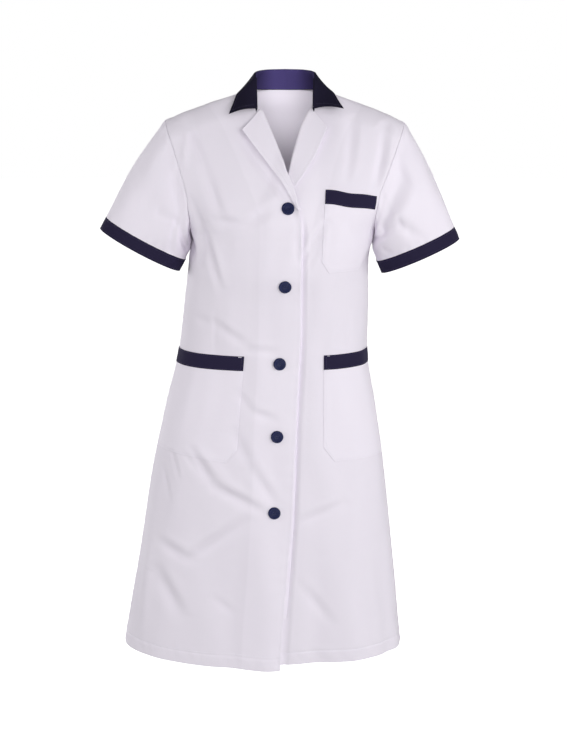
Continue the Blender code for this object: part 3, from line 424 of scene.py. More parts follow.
def foldDepth(around, height):
    total = np.zeros(np.broadcast(around, height).shape)
    for a1, h1, a2, h2, width, depth, lip in bodyCut["folds"]:
        turn = np.mod(around - a1 + 2, 4) - 2
        run = np.array([(a2 - a1) * quarterLength((h1 + h2) / 2), h2 - h1])
        offset = np.stack(np.broadcast_arrays(turn * quarterLength(height), height - h1), -1)
        along = np.clip(offset @ run / (run @ run), 0, 1)
        away = offset - along[..., None] * run
        far = np.linalg.norm(away, axis=-1)
        above = far * np.sign(away[..., 1] + 1e-9)      # a lip stands up along its upper side
        shape = bell(far, width) - lip * bell(above - 1.55 * width, 0.8 * width)
        swell = bodyCut["foldEnd"] + (1 - bodyCut["foldEnd"]) * np.sin(np.pi * along)
        total += depth * swell * shape
    return total


draws = np.random.default_rng(drape["seed"])
waveTurns = draws.integers(drape["fewest"], drape["most"], drape["waves"])
waveRises = draws.uniform(-1, 1, drape["waves"]) * drape["upright"]
wavePhases = draws.uniform(0, 2 * np.pi, drape["waves"])


def unevenness(around, height):
    total = np.zeros(np.broadcast(around, height).shape)
    for turns, rise, phase in zip(waveTurns, waveRises, wavePhases):
        wave = np.sin(np.pi / 2 * turns * around + 2 * np.pi * rise * height + phase)
        total += drape["fewest"] / turns * wave
    return drape["height"] * total


def bodyPoints(side, face, angle, height):
    angle, height = np.broadcast_arrays(np.asarray(angle, float), np.asarray(height, float))
    a, c, b = halfWidthAt(height), centreAt(height), depthAt[face](height)
    x = xAt(side, angle, height)
    top, slope = ridgeHeight(side, x)
    drop = np.clip((top - height) / bodyCut["ridgeRound"], 0, 1)
    turn = np.maximum(np.sqrt(1 - (1 - drop) ** 2), 1e-3)
    deep = signedPower(np.sin(angle), 2 / squareness)
    y = face * np.maximum(b * deep * turn, cloth["seamGap"] / 2 + 1e-5)
    n, step = squareness, 1e-4
    growA = (halfWidthAt(height + step) - halfWidthAt(height - step)) / (2 * step)
    growC = (centreAt(height + step) - centreAt(height - step)) / (2 * step)
    growB = (depthAt[face](height + step) - depthAt[face](height - step)) / (2 * step)
    share = (x - c) / a
    pullX = n * signedPower(share, n - 1)
    pullY = n * np.abs(deep) ** n
    rounding = (1 - drop) / (bodyCut["ridgeRound"] * turn ** 2) * (drop < 1)
    normal = np.stack((
        pullX / a + pullY * rounding * slope * np.sign(x),
        face * n * np.abs(deep) ** (n - 1) / (b * turn),
        -pullX * (growC + share * growA) / a - pullY * (growB / b - rounding),
    ), -1)
    return np.stack((x, y, height), -1), unit(normal)


def lapRise(side, face, x, height):      # the right front lies over the left one and its lapel
    if side > 0 or face == back:
        return 0.0
    low, full, fade, high = bodyCut["lapelSpan"]
    lapel = smoothStep(low, full, height) * (1 - smoothStep(fade, high, height))
    start, end = bodyCut["lapRamp"]
    ramp = 1 - smoothStep(end, start, edgeAt[1](height) - x)
    lift = bodyCut["lapLift"] + bodyCut["lapelLift"] * lapel
    return lift * ramp * (1 - smoothStep(*bodyCut["lapFade"], height))


def armholeAt(side, turn):               # turn: 0 at the shoulder, pi under the arm
    c = bodyCut
    height = c["tipZ"][side] - (c["tipZ"][side] - c["underarmZ"]) * (1 - np.cos(turn)) / 2
    tip = angleAt(side, side * c["tipX"], c["tipZ"][side])
    upper = c["armholeAngle"] + (tip - c["armholeAngle"]) * np.cos(turn) ** 2
    lower = c["armholeAngle"] * np.sin(turn)
    return np.where(turn < np.pi / 2, upper, np.maximum(lower, 0)), height


def stripStart(side, height):
    edge = edgeAt[side](height)
    return edge + side * np.maximum(edgeAt[-1](height) - edgeAt[1](height), bodyCut["stripLeast"])


def hemAt(side, face, x, height):        # height of the hem under a point
    c = bodyCut
    if face == back:
        middle, start = c["hemMiddle"], side * c["neckX"]
    else:
        middle, start = c["hemEdge"][side], stripStart(side, height)
    out = np.clip((x - start) / (xAt(side, 0.0, height) - start), 0, 1)
    return lerp(middle, c["hemSide"][side], out)


def seamRelief(side, face, angle, points):
    x, y, height = points[..., 0], points[..., 1], points[..., 2]
    c, s = bodyCut, seams
    tip = c["tipZ"][side]
    turn = np.arccos(np.clip(1 - 2 * (tip - height) / (tip - c["underarmZ"]), -1, 1))
    away = (quarterShare(angle) - quarterShare(armholeAt(side, turn)[0])) * quarterLength(height)
    away = np.where(height > tip, np.hypot(np.abs(x) - c["tipX"], height - tip), np.maximum(away, 0))
    relief = -s["dip"] * bell(away, s["width"])
    wobble = np.sin(2 * np.pi * height / s["pitch"] + 2.1 * np.sin(2 * np.pi * height / 0.13 + side) + face)
    relief += s["pucker"] * wobble * bell(away, s["reach"]) * (1 - bell(away, 0.004))
    relief -= s["dip"] * bell(np.hypot(y, ridgeHeight(side, x)[0] - height), s["width"])
    hem = hemAt(side, face, x, height)
    up = (height - hem) * c["rise"] / (c["underarmZ"] - hem)
    along = x + face * y
    rope = np.sin(2 * np.pi * (along / s["ropePitch"] + up / 0.05) + 2.4 * np.sin(2 * np.pi * along / 0.12))
    relief += s["hemPuff"] * (1 - smoothStep(s["hem"] - 0.004, s["hem"], up))
    relief += s["rope"] * rope * bell(up - 0.015, 0.011) - s["hemGroove"] * bell(up - s["hem"], 0.0011)
    if face == front and side > 0:
        out, width, depth, full, none = c["lapGroove"]
        relief -= depth * (1 - smoothStep(full, none, height)) * bell(x - edgeAt[-1](height) - out, width)
    if face == front:
        inward = side * (x - edgeAt[side](height))
        ripple = np.sin(2 * np.pi * height / 0.031 + 1.9 * np.sin(2 * np.pi * height / 0.17 + 2 * side))
        edge = s["edgeRipple"] * ripple * bell(inward, 0.014)
        edge = edge - s["edgeGroove"] * bell(inward - s["edgeStitch"], 0.0013)
        relief += (1 - smoothStep(*s["edgeFade"], height)) * edge
    return relief


def clothPoints(side, face, angle, height, out=0.0):
    points, normals = bodyPoints(side, face, angle, height)
    around = side * (1 + face * quarterShare(angle))
    push = (foldDepth(around, height) + unevenness(around, height) + seamRelief(side, face, angle, points)
            + lapRise(side, face, points[..., 0], height) + out)
    return points + normals * np.asarray(push)[..., None], normals


# Meshes

def clothMesh(name, outer, inner, material, closed=False, rounded=(0, 0, 0, 0), uvFrom=0):
    outer, inner = np.asarray(outer, float), np.asarray(inner, float)
    rows, columns = outer.shape[:2]
    count = rows * columns
    index = np.arange(count).reshape(rows, columns)
    wide = np.concatenate((index, index[:, :1]), 1) if closed else index
    quads = np.stack((wide[:-1, :-1], wide[:-1, 1:], wide[1:, 1:], wide[1:, :-1]), -1).reshape(-1, 4)
    faces = [quads, quads[:, ::-1] + count]
    across = np.linalg.norm(np.diff(outer, axis=1), axis=-1)
    run = np.concatenate((np.zeros((rows, 1)), np.cumsum(across, 1)), 1)
    run = run - run[:, uvFrom][:, None]
    down = np.linalg.norm(np.diff(outer, axis=0), axis=-1)
    rise = np.concatenate((np.zeros((1, columns)), np.cumsum(down, 0)), 0)
    lengths = np.stack((run, rise), -1).reshape(-1, 2)

    out = np.zeros_like(outer)                      # the rims are rounded outwards by these shares of the wall
    thick = np.linalg.norm(outer - inner, axis=-1, keepdims=True)
    out[0] += rounded[0] * thick[0] * unit(outer[0] - outer[1])
    out[-1] += rounded[1] * thick[-1] * unit(outer[-1] - outer[-2])
    if not closed:
        out[:, 0] += rounded[2] * thick[:, 0] * unit(outer[:, 0] - outer[:, 1])
        out[:, -1] += rounded[3] * thick[:, -1] * unit(outer[:, -1] - outer[:, -2])
    if closed:
        loops = [list(index[0]), list(index[-1])]
    else:
        loops = [list(index[0]) + list(index[1:, -1]) + list(index[-1, -2::-1]) + list(index[-2:0:-1, 0])]
    points = [outer.reshape(-1, 3), inner.reshape(-1, 3)]
    uv = [lengths, lengths]
    start = 2 * count
    for loop in loops:
        loop = np.array(loop)
        points.append((points[0][loop] + points[1][loop]) / 2 + out.reshape(-1, 3)[loop])
        uv.append(lengths[loop])
        rim = start + np.arange(len(loop))
        following, rimNext = np.roll(loop, -1), np.roll(rim, -1)
        faces.append(np.stack((loop, rim, rimNext, following), -1))
        faces.append(np.stack((rim, loop + count, following + count, rimNext), -1))
        start += len(loop)
    points, uv = np.concatenate(points), np.concatenate(uv)
    faces = np.concatenate(faces)
    mesh = bpy.data.meshes.new(name)
    mesh.from_pydata(points.tolist(), [], faces.tolist())
    edit = bmesh.new()
    edit.from_mesh(mesh)
    bmesh.ops.recalc_face_normals(edit, faces=edit.faces)
    edit.to_mesh(mesh)
    edit.free()
    corners = np.zeros(len(mesh.loops), int)
    mesh.loops.foreach_get("vertex_index", corners)
    mesh.uv_layers.new(name="clothLengths").data.foreach_set("uv", uv[corners].ravel())
    return finishPiece(name, mesh, material)


def finishPiece(name, mesh, material):
    piece = bpy.data.objects.new(name, mesh)
    bpy.context.scene.collection.objects.link(piece)
    mesh.materials.append(material)
    mesh.shade_smooth()
    mesh.set_sharp_from_angle(angle=np.radians(60))
    return piece


threadCut = {"pitch": 0.0028, "share": 0.80, "thick": 0.00021, "dip": 0.0003}


def stitchRow(points, normals, pitch=threadCut["pitch"], share=threadCut["share"]):
    points, normals = np.asarray(points), np.asarray(normals)
    run = np.concatenate(([0], np.cumsum(np.linalg.norm(np.diff(points, axis=0), axis=-1))))
    starts = np.arange(0.1 * pitch, run[-1] - 0.8 * pitch * share, pitch)
    at = starts[:, None] + np.array((0.0, 0.2, 0.8, 1.0)) * pitch * share
    place, out, way = (np.stack([np.interp(at, run, part[:, k]) for k in range(3)], -1)
                       for part in (points, normals, waysAlong(points, 0)))
    out = unit(out)
    cross = unit(np.cross(way, out))
    thick = threadCut["thick"]
    size = np.array((0.35, 0.95, 0.95, 0.35))[None, :, None, None] * thick
    heart = place + out * (np.array((-0.5, 0.5, 0.5, -0.5)) * thick)[None, :, None]
    round4 = np.array((1, 0, -1, 0))[:, None], np.array((0, 1, 0, -1))[:, None]
    verts = heart[:, :, None] + size * (cross[:, :, None] * round4[0] + out[:, :, None] * round4[1])
    ring = [(4 * r + k, 4 * r + (k + 1) % 4, 4 * r + 4 + (k + 1) % 4, 4 * r + 4 + k)
            for r in range(3) for k in range(4)]
    faces = np.array(ring + [(3, 2, 1, 0), (12, 13, 14, 15)])[None] + 16 * np.arange(len(starts))[:, None, None]
    return verts.reshape(-1, 3), faces.reshape(-1, 4)


def barTack(point, out, along, length=0.0055, width=0.0016, turns=11):
    across = unit(np.cross(out, along))
    rows = []
    for share in np.linspace(-0.5, 0.5, turns):
        middle, half = point + along * length * share, across * width / 2
        rows.append(stitchRow([middle - half, middle + half], [out, out], width * 0.98, 1.0))
    return rows


threadRows = {}                          # the rows of thread on each piece, made into one mesh at the end


def sew(node, *rows):
    threadRows.setdefault(node, []).extend(rows)


def makeThread(node, material):
    verts, faces, count = [], [], 0
    for rowVerts, rowFaces in threadRows[node]:
        verts.append(rowVerts)
        faces.append(rowFaces + count)
        count += len(rowVerts)
    mesh = bpy.data.meshes.new(node + "_thread")
    mesh.from_pydata(np.concatenate(verts).tolist(), [], np.concatenate(faces).tolist())
    return finishPiece(node + "_thread", mesh, material)


def gridLine(grids, rows, columns, v, u):      # the places on a grid at shares v down it and u across it
    v, u = np.broadcast_arrays(np.asarray(v, float), np.asarray(u, float))
    i, j = np.interp(v, rows, np.arange(len(rows))), np.interp(u, columns, np.arange(len(columns)))
    i0, j0 = np.minimum(i.astype(int), len(rows) - 2), np.minimum(j.astype(int), len(columns) - 2)
    fi, fj = i - i0, j - j0
    a, b = fi[:, None], fj[:, None]
    return [(1 - a) * ((1 - b) * grid[i0, j0] + b * grid[i0, j0 + 1])
            + a * ((1 - b) * grid[i0 + 1, j0] + b * grid[i0 + 1, j0 + 1]) for grid in grids]


def sewOn(node, grids, rows, columns, v, u):
    sew(node, stitchRow(*gridLine(grids, rows, columns, v, u)))


def sewnEdge(away, stitch, width, rimDip, rimWidth):    # cloth sinks along its stitches and towards its rim
    return -threadCut["dip"] * bell(away - stitch, width) - rimDip * bell(away, rimWidth)


def dress(piece, slot, *nodes):
    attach(piece, "root")
    if nodes:
        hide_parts(*nodes)
    return piece


# Materials

twill = {
    "yarn": 0.0006, "slant": 63.0,      # drawn a little coarser than its 0.35 mm, so that it shows close up
    "weave": 0.25,                      # how strongly it is raised
    "single": 0.965,                    # how light one layer is against two
}


def blend(tree, share, hexLow, hexHigh):
    colours = {6: linearColour(hexLow), 7: linearColour(hexHigh)}
    return addNode(tree, "ShaderNodeMix", {"Factor": share} | colours, data_type="RGBA").outputs[2]


def weaveBump(tree, lengths):
    slant = 0, 0, np.radians(twill["slant"])
    turned = addNode(tree, "ShaderNodeMapping", {"Vector": lengths, "Rotation": slant})
    rib = addNode(tree, "ShaderNodeTexWave", {"Vector": turned.outputs[0], "Scale": 0.314 / twill["yarn"],
                                              "Distortion": 0.6, "Detail": 1.0, "Detail Scale": 0.3})
    slub = addNode(tree, "ShaderNodeTexNoise", {"Vector": lengths, "Scale": 420.0, "Detail": 2.0})
    soft = addNode(tree, "ShaderNodeTexNoise",
                   {"Vector": lengths, "Scale": 38.0, "Detail": 3.0, "Roughness": 0.55})
    below = {}
    levels = (rib, twill["weave"], 0.00012), (slub, twill["weave"], 0.00025), (soft, 0.5, 0.0009)
    for source, strength, distance in levels:
        raised = {"Height": source.outputs["Fac"], "Strength": strength, "Distance": distance}
        below = {"Normal": addNode(tree, "ShaderNodeBump", raised | below).outputs[0]}
    return below["Normal"]


def clothMaterial(name, hexLight, hexDark, roughness, sheen, sheenHex, specular=0.3, layerToneAndPaintedShade=None):
    material, tree, shader = newMaterial(name)
    lengths = addNode(tree, "ShaderNodeUVMap", uv_map="clothLengths").outputs[0]
    cloud = addNode(tree, "ShaderNodeTexNoise",
                    {"Vector": lengths, "Scale": 9.0, "Detail": 4.0, "Roughness": 0.6})
    colour = blend(tree, cloud.outputs["Fac"], hexDark, hexLight)
    # beyond the facing one layer is a shade darker than two; on the collar's inner face this is painted shade,
    # darker to the sides
    if layerToneAndPaintedShade:                              # the tone falls between two distances from the middle
        source, start, end, share = layerToneAndPaintedShade
        place = lengths if source == "UV" else addNode(tree, "ShaderNodeTexCoord").outputs[source]
        across = addNode(tree, "ShaderNodeSeparateXYZ", {"Vector": place}).outputs[0]
        away = addNode(tree, "ShaderNodeMath", {0: across}, operation="ABSOLUTE")
        band = addNode(tree, "ShaderNodeMapRange", {"Value": away.outputs[0],
                                                    "From Min": start, "From Max": end,
                                                    "To Min": 1.0, "To Max": share})
        colour = addNode(tree, "ShaderNodeVectorMath", {0: colour, "Scale": band.outputs[0]},
                         operation="SCALE").outputs[0]
    plug(tree, shader, {"Base Color": colour, "Normal": weaveBump(tree, lengths), "Roughness": roughness,
                        "Specular IOR Level": specular, "Sheen Weight": sheen, "Sheen Roughness": 0.45,
                        "Sheen Tint": linearColour(sheenHex)})
    return material


# Polyester and cotton twill, bleached white and lightly pressed: matt, cool white, with a faint nap at
# grazing angles.
whiteTwill = clothMaterial("bleachedCottonPolyesterTwill", "F2ECF6", "EDE7F2", 0.82, 0.08, "FFFFFF")
# The same in two layers as far as the facing reaches: a shade lighter there.
facedTwill = clothMaterial("bleachedTwillWithFacing", "F2ECF6", "EDE7F2", 0.82, 0.08, "FFFFFF",
                           layerToneAndPaintedShade=("UV", 0.066, 0.070, twill["single"]))
# The same cloth dyed navy: very dark, with a violet nap.
navyTwill = clothMaterial("navyDyedTwill", "26213C", "201B34", 0.85, 0.02, "6A64A0", specular=0.12)
# The collar in a darker navy than the bands and cuffs.
collarTwill = clothMaterial("darkNavyDyedTwill", "161226", "120F20", 0.85, 0.01, "6A64A0", specular=0.12)
# Its inner face, with painted light: purple where light falls into the neck, and painted shade, darker to the
# sides where the leaves shade it.
navyWithPaintedLight = clothMaterial("navyDyedTwillInnerFace", "463C70", "3E3664", 0.85, 0.02, "6A64A0", specular=0.12,
                           layerToneAndPaintedShade=("Object", 0.018, 0.046, 0.62))


def threadMaterial(name, hexLight, hexDark):
    # Spun polyester thread: a smoother, faintly shiny twist.
    material, tree, shader = newMaterial(name)
    place = addNode(tree, "ShaderNodeTexCoord").outputs["Object"]
    fluff = addNode(tree, "ShaderNodeTexNoise", {"Vector": place, "Scale": 900.0, "Detail": 2.0})
    plug(tree, shader, {"Base Color": blend(tree, fluff.outputs["Fac"], hexDark, hexLight), "Roughness": 0.55})
    return material


whiteThread = threadMaterial("whiteSpunPolyesterThread", "F2EFF7", "E6E2EE")
navyThread = threadMaterial("navySpunPolyesterThread", "3A3556", "2A2544")


# Fronts and back

def panelFrame(side):                    # shares up to the armhole and beyond, the side and the middle by row
    c = bodyCut
    low = np.concatenate((np.linspace(0, 1, c["rows"] + 1)[:-1], np.array(seams["hemRows"]) / c["rise"]))
    low = np.unique(np.round(low, 6))
    clear = [0]
    for i in range(1, len(low)):                   # drop even rows that crowd the hem's own
        if (low[i] - low[clear[-1]]) * c["rise"] > 0.0005:
            clear.append(i)
    low = low[clear]
    turns = np.linspace(np.pi, 0, c["armRows"] + 1)
    up = (1 + np.cos(turns)) / 2
    angles, heights = armholeAt(side, turns)
    start = np.zeros(len(low))
    return (low, np.concatenate((start, up)), np.concatenate((start, angles)),
            np.concatenate((lerp(c["hemSide"][side], c["underarmZ"], low), heights)),
            np.concatenate((lerp(c["hemMiddle"], c["underarmZ"], low), lerp(c["underarmZ"], c["neckZ"], up))))


def bow(x, sideX, weight):
    share = np.clip((np.abs(x) - bodyCut["neckX"]) / (np.abs(sideX) - bodyCut["neckX"]), 0, 1)
    return weight * bodyCut["crown"] * np.sin(np.pi * share)


def rowBetween(side, angle1, height1, x2, height2, shares, weight):
    x1 = xAt(side, angle1, height1)
    angle2 = angleAt(side, x2, height2 + bow(x2, x1, weight))
    angles, heights = lerp(angle1, angle2, shares), lerp(height1, height2, shares)
    for _ in range(6):
        x = xAt(side, angles, heights)
        heights = lerp(height1, height2, (x - x1) / (x2 - x1)) + bow(x, x1, weight)
    return angles, heights


nearSeam = (0.0025, 0.0060, 0.0105)


def frontGrid(side):
    c = bodyCut
    low, climb, sideAngles, sideHeights, middle = panelFrame(side)
    settle = 1 - smoothStep(0.0, 1 / 22, low)       # the solid's first row alone reaches the edge's own hem
    edgeHeights = lerp(c["hemEdge"][side], c["underarmZ"], low)
    middle[:len(low)] = lerp(middle[:len(low)], edgeHeights, settle)
    shares = sharesWith(c["frontColumns"], nearSeam)
    stripShares = sharesWith(c["stripColumns"], (), (0.012, 0.030, 0.055))[1:]
    rows = []
    for atSide, sideHeight, height, weight in zip(sideAngles, sideHeights, middle, smoothStep(0.5, 1, climb)):
        edge, start = edgeAt[side](height), stripStart(side, height)
        sideX = xAt(side, atSide, sideHeight)
        straight = lerp(height, sideHeight, (start - edge) / (sideX - edge))
        startHeight = lerp(height, straight, smoothStep(*c["stripLevel"], height))
        angles, heights = rowBetween(side, atSide, sideHeight, start, startHeight, shares, weight)
        stripX = lerp(start, edge, stripShares)
        stripHeights = lerp(startHeight, height, stripShares) + bow(stripX, sideX, weight)
        rows.append((np.concatenate((angles, angleAt(side, stripX, stripHeights))),
                     np.concatenate((heights, stripHeights))))
    return low, *np.moveaxis(rows, 1, 0)


def backHalf(side):
    c = bodyCut
    low, climb, sideAngles, sideHeights, middle = panelFrame(side)
    shares = sharesWith(c["backColumns"], nearSeam)
    rows = []
    for atSide, sideHeight, height, rise in zip(sideAngles, sideHeights, middle, climb):
        angles, heights = rowBetween(side, atSide, sideHeight, side * c["neckX"], height, shares,
                                     smoothStep(0.5, 1, rise))
        across = np.linspace(angles[-1], angleAt(side, 0, height), c["neckColumns"] + 1)[1:]
        out = np.minimum(np.abs(xAt(side, across, height)) / c["neckX"], 1)
        neck = lerp(c["backNeckZ"], c["neckZ"], out ** 2)
        rows.append((np.concatenate((angles, across)),
                     np.concatenate((heights, height + rise * (neck - c["neckZ"])))))
    return low, *np.moveaxis(rows, 1, 0)


def wallAt(side, face, points):
    x, height = points[..., 0], points[..., 2]
    hem = (height - hemAt(side, face, x, height)) < seams["hem"] + 0.0005
    wall = np.where(hem, cloth["edge"], cloth["wall"])
    if face == front:
        inward = smoothStep(0.004, 0.012, side * (x - edgeAt[side](height)))
        wall = np.maximum(wall, lerp(cloth["edge"], cloth["wall"], inward))
    return wall[..., None]


def makePanel(node, side, face, low, angles, heights):      # both faces of a panel, its hem sewn
    points, normals = clothPoints(side, face, angles, heights)
    share = seams["hem"] / bodyCut["rise"]
    atHem = [np.array([np.interp(share, low, column) for column in grid[:len(low)].T])
             for grid in (angles, heights)]
    sew(node, stitchRow(*clothPoints(side, face, *atHem)))
    return points, points - normals * wallAt(side, face, points)


def makeFront(name, side):
    points, inner = makePanel(name, side, front, *frontGrid(side))
    piece = clothMesh(name + "_cloth", points, inner, facedTwill, rounded=(0.35, 0, 0, 0.35), uvFrom=-1)
    z = np.linspace(bodyCut["hemEdge"][side] + 0.001, seams["edgeTop"], 900)
    edgeRow = edgeAt[side](z) + side * seams["edgeStitch"], z
    facingX, foot, top = seams["facing"][side]
    for x, z in edgeRow, (np.full(30, facingX), np.linspace(foot, top, 30)):
        sew(name, stitchRow(*clothPoints(side, front, angleAt(side, x, z), z)))
    return dress(piece, "white_cloth", name)


def makeBack():
    halves = [makePanel("back", side, back, *backHalf(side)) for side in (-1, 1)]
    points, inner = (np.concatenate((halves[0][k], halves[1][k][:, -2::-1]), axis=1) for k in (0, 1))
    piece = clothMesh("back_cloth", points, inner, whiteTwill, rounded=(0.35, 0, 0, 0),
                      uvFrom=points.shape[1] // 2)
    return dress(piece, "white_cloth", "back")


pieces = {"back": makeBack()}
for sideName, side in sides.items():
    pieces["front_" + sideName] = makeFront("front_" + sideName, side)
print("body panels:", sum(len(p.data.polygons) for p in pieces.values()), "faces")


# Sleeves and cuffs

sleeveCut = {
    # middle of the sleeve's end, how its oval leans, and half its length and depth
    "ends": {-1: (-0.2323, -0.010, -0.2405, np.radians(28.4), 0.0748, 0.0500),
             1: (+0.2177, -0.010, -0.2500, np.radians(23.9), 0.0706, 0.0500)},
    "bulge": 0.0055,
    "underarm": {-1: 0.0050, 1: 0.0060}, "underarmSpan": (0.02, 0.35, 0.55, 1.0),   # slack under the arm
    "gap": 0.0005, "length": 0.15,
    # height, place along the sleeve and reach of the seam's puckers and puff and of the ripple at the cuff
    "pucker": (0.0005, 0.007, 0.009), "puff": (0.0007, 0.006, 0.006), "ripple": (0.00035, 0.004, 0.008),
    "slack": 0.0006,
    "folds": {
        # degrees round from the shoulder (90 front), share down, the same for its end, width, depth
        -1: ((84, 0.05, 160, 0.60, 0.09, -0.0065), (56, 0.06, 98, 0.20, 0.05, -0.0026),
             (70, 0.55, 114, 0.59, 0.08, -0.0030), (88, 0.58, 116, 0.39, 0.035, -0.0020),
             (28, 0.41, 90, 0.90, 0.10, -0.0026), (116, 0.46, 128, 0.96, 0.05, -0.0026),
             (250, 0.10, 275, 0.95, 0.14, -0.0040), (310, 0.20, 300, 0.95, 0.14, +0.0030)),
        1: ((68, 0.21, 128, 0.31, 0.075, -0.0080), (60, 0.40, 98, 0.54, 0.07, +0.0036),
            (164, 0.28, 98, 0.59, 0.045, -0.0048), (98, 0.59, 78, 0.96, 0.05, -0.0038),
            (112, 0.08, 152, 0.05, 0.05, -0.0034), (40, 0.05, 104, 0.06, 0.04, -0.0034),
            (138, 0.76, 126, 0.97, 0.04, -0.0022), (92, 0.81, 90, 0.97, 0.05, -0.0018),
            (2, 0.50, 54, 0.88, 0.10, -0.0020),
            (250, 0.10, 275, 0.95, 0.14, -0.0040), (310, 0.20, 300, 0.95, 0.14, +0.0030)),
    },
    "rows": 64,
}
cuffCut = {
    "height": 0.0220, "wall": 0.0020, "rows": 12, "stitch": 0.0030,
    "proud": 0.0006, "threadOut": 0.0004,   # how far the cloth and its thread stand out from the sleeve's end
    "waves": (0.00035, 0.00025),
}
turnStep, downStep = 0.03, 0.01         # how far apart points are taken for a direction


def armholeRing(side, turns):
    turns = np.mod(turns, 2 * np.pi)
    folded = np.where(turns > np.pi, 2 * np.pi - turns, turns)
    angle, height = armholeAt(side, folded)
    atFront, atBack = (clothPoints(side, face, angle, height) for face in (front, back))
    behind = (turns > np.pi)[..., None]
    return np.where(behind, atBack[0], atFront[0]), np.where(behind, atBack[1], atFront[1])


def sleeveAxes(side):                   # across the sleeve's end, and down out of it
    tilt = sleeveCut["ends"][side][3]
    return np.array([side * np.cos(tilt), 0, np.sin(tilt)]), np.array([side * np.sin(tilt), 0, -np.cos(tilt)])


def sleeveRing(side, turns, grow=0.0):
    x, y, z, _, halfLong, halfDeep = sleeveCut["ends"][side]
    across, _ = sleeveAxes(side)
    return (np.array([x, y, z])
            + (np.cos(turns) * (halfLong + grow))[..., None] * across
            + (np.sin(turns) * (halfDeep + grow))[..., None] * np.array([0, -1, 0]))


def sleeveTurns():
    half = np.linspace(0, np.pi, bodyCut["armRows"] + 1)
    return np.concatenate((half, np.pi + half[1:-1]))


def armholeAway(side, turns):
    along = armholeRing(side, turns + turnStep)[0] - armholeRing(side, turns - turnStep)[0]
    _, out = armholeRing(side, turns)
    return unit(unit(np.cross(out, along) * side) + np.array([side, 0, 0]))


def sleevePoints(side, turns, down):
    start = armholeRing(side, turns[0])[0] + armholeAway(side, turns[0]) * sleeveCut["gap"]
    across, _ = sleeveAxes(side)
    radial = np.cos(turns)[..., None] * across + np.sin(turns)[..., None] * np.array([0, -1, 0])
    push = sleeveCut["bulge"] * np.sin(np.pi * down) * np.minimum(1, 1.2 * (1 + np.cos(turns)))
    begin, full, fade, end = sleeveCut["underarmSpan"]
    under = smoothStep(begin, full, down) * (1 - smoothStep(fade, end, down))
    push = push + sleeveCut["underarm"][side] * under * bell(np.mod(turns, 2 * np.pi) - np.pi, 0.75)
    for round1, down1, round2, down2, width, depth in sleeveCut["folds"][side]:
        run = np.array([np.radians(round2 - round1), down2 - down1])
        away = np.stack((turns - np.radians(round1), down - down1), -1)
        along = np.clip(away @ run / (run @ run), 0, 1)
        away = np.linalg.norm(away - along[..., None] * run, axis=-1)
        push = push + depth * np.sin(np.pi * down) ** 0.5 * bell(away, width * 2)
    length = sleeveCut["length"]
    seam = down * length
    wobble = np.sin(turns * 17 + 1.7 * np.sin(turns * 5 + side))
    height, place, reach = sleeveCut["pucker"]
    push = push + height * wobble * bell(seam - place, reach)
    height, place, reach = sleeveCut["puff"]
    push = push + height * bell(seam - place, reach) * (down > 0)
    height, place, reach = sleeveCut["ripple"]
    push = push + height * np.sin(turns * 23 + 2 * np.sin(turns * 4)) * bell(seam - length + place, reach)
    push = push + sleeveCut["slack"] * np.sin(turns * 6 + down * 5 + side) * np.sin(np.pi * down)
    push = push * smoothStep(0, 0.02, down)
    return start + (sleeveRing(side, turns) - start) * down[..., None] + radial * push[..., None]


def sleeveNormals(side, turns, down):
    low, high = np.clip(down - downStep, 0, 1), np.clip(down + downStep, 0, 1)
    across = sleevePoints(side, turns + turnStep, down) - sleevePoints(side, turns - turnStep, down)
    along = sleevePoints(side, turns, high) - sleevePoints(side, turns, low)
    return unit(np.cross(across, along) * side)


def makeSleeve(name, side):
    turns = sleeveTurns()
    downs = sharesWith(sleeveCut["rows"], (0.004, 0.009), (0.006,))
    turnGrid, downGrid = np.meshgrid(turns, downs)
    points, normals = sleevePoints(side, turnGrid, downGrid), sleeveNormals(side, turnGrid, downGrid)
    _, bodyOut = armholeRing(side, turns)
    facing = np.clip(np.sum(bodyOut * normals[0], -1, keepdims=True), 0, 1) ** 0.5
    normals[0] = unit(normals[0] + bodyOut * facing)
    piece = clothMesh(name + "_cloth", points, points - normals * cloth["wall"], whiteTwill, closed=True)
    return dress(piece, "white_cloth", name)


def makeCuff(name, side):
    c = cuffCut
    turns = sleeveTurns()
    _, down = sleeveAxes(side)
    gap = cloth["seamGap"]
    drops = sharesWith(c["rows"], (0.02, 0.05), (0.02, 0.05)) * (c["height"] - gap) + gap
    stitches = c["stitch"], c["height"] - c["stitch"]
    slow, quick = c["waves"]
    wave = slow * np.sin(turns * 9 + side) + quick * np.sin(turns * 21 + 2)
    grow = c["proud"] + wave[None] * np.sin(np.pi * drops / c["height"])[:, None]
    for drop in stitches:
        grow = grow - threadCut["dip"] * bell(drops - drop, 0.0012)[:, None]
    outer, inner = (sleeveRing(side, np.broadcast_to(turns, grow.shape), size) + down * drops[:, None, None]
                    for size in (grow, grow - c["wall"]))
    piece = clothMesh(name + "_cloth", outer, inner, navyTwill, closed=True, rounded=(0.1, 0.25, 0, 0))
    ring = np.linspace(0, 2 * np.pi, 400)
    radial = unit(sleeveRing(side, ring, 0.01) - sleeveRing(side, ring, 0.0))
    for drop in stitches:
        sew(name, stitchRow(sleeveRing(side, ring, c["threadOut"]) + down * drop, radial))
    return dress(piece, "navy_cloth", name)


for sideName, side in sides.items():
    pieces["sleeve_" + sideName] = makeSleeve("sleeve_" + sideName, side)
    pieces["cuff_" + sideName] = makeCuff("cuff_" + sideName, side)
print("sleeves and cuffs made")


# Lapels and collar

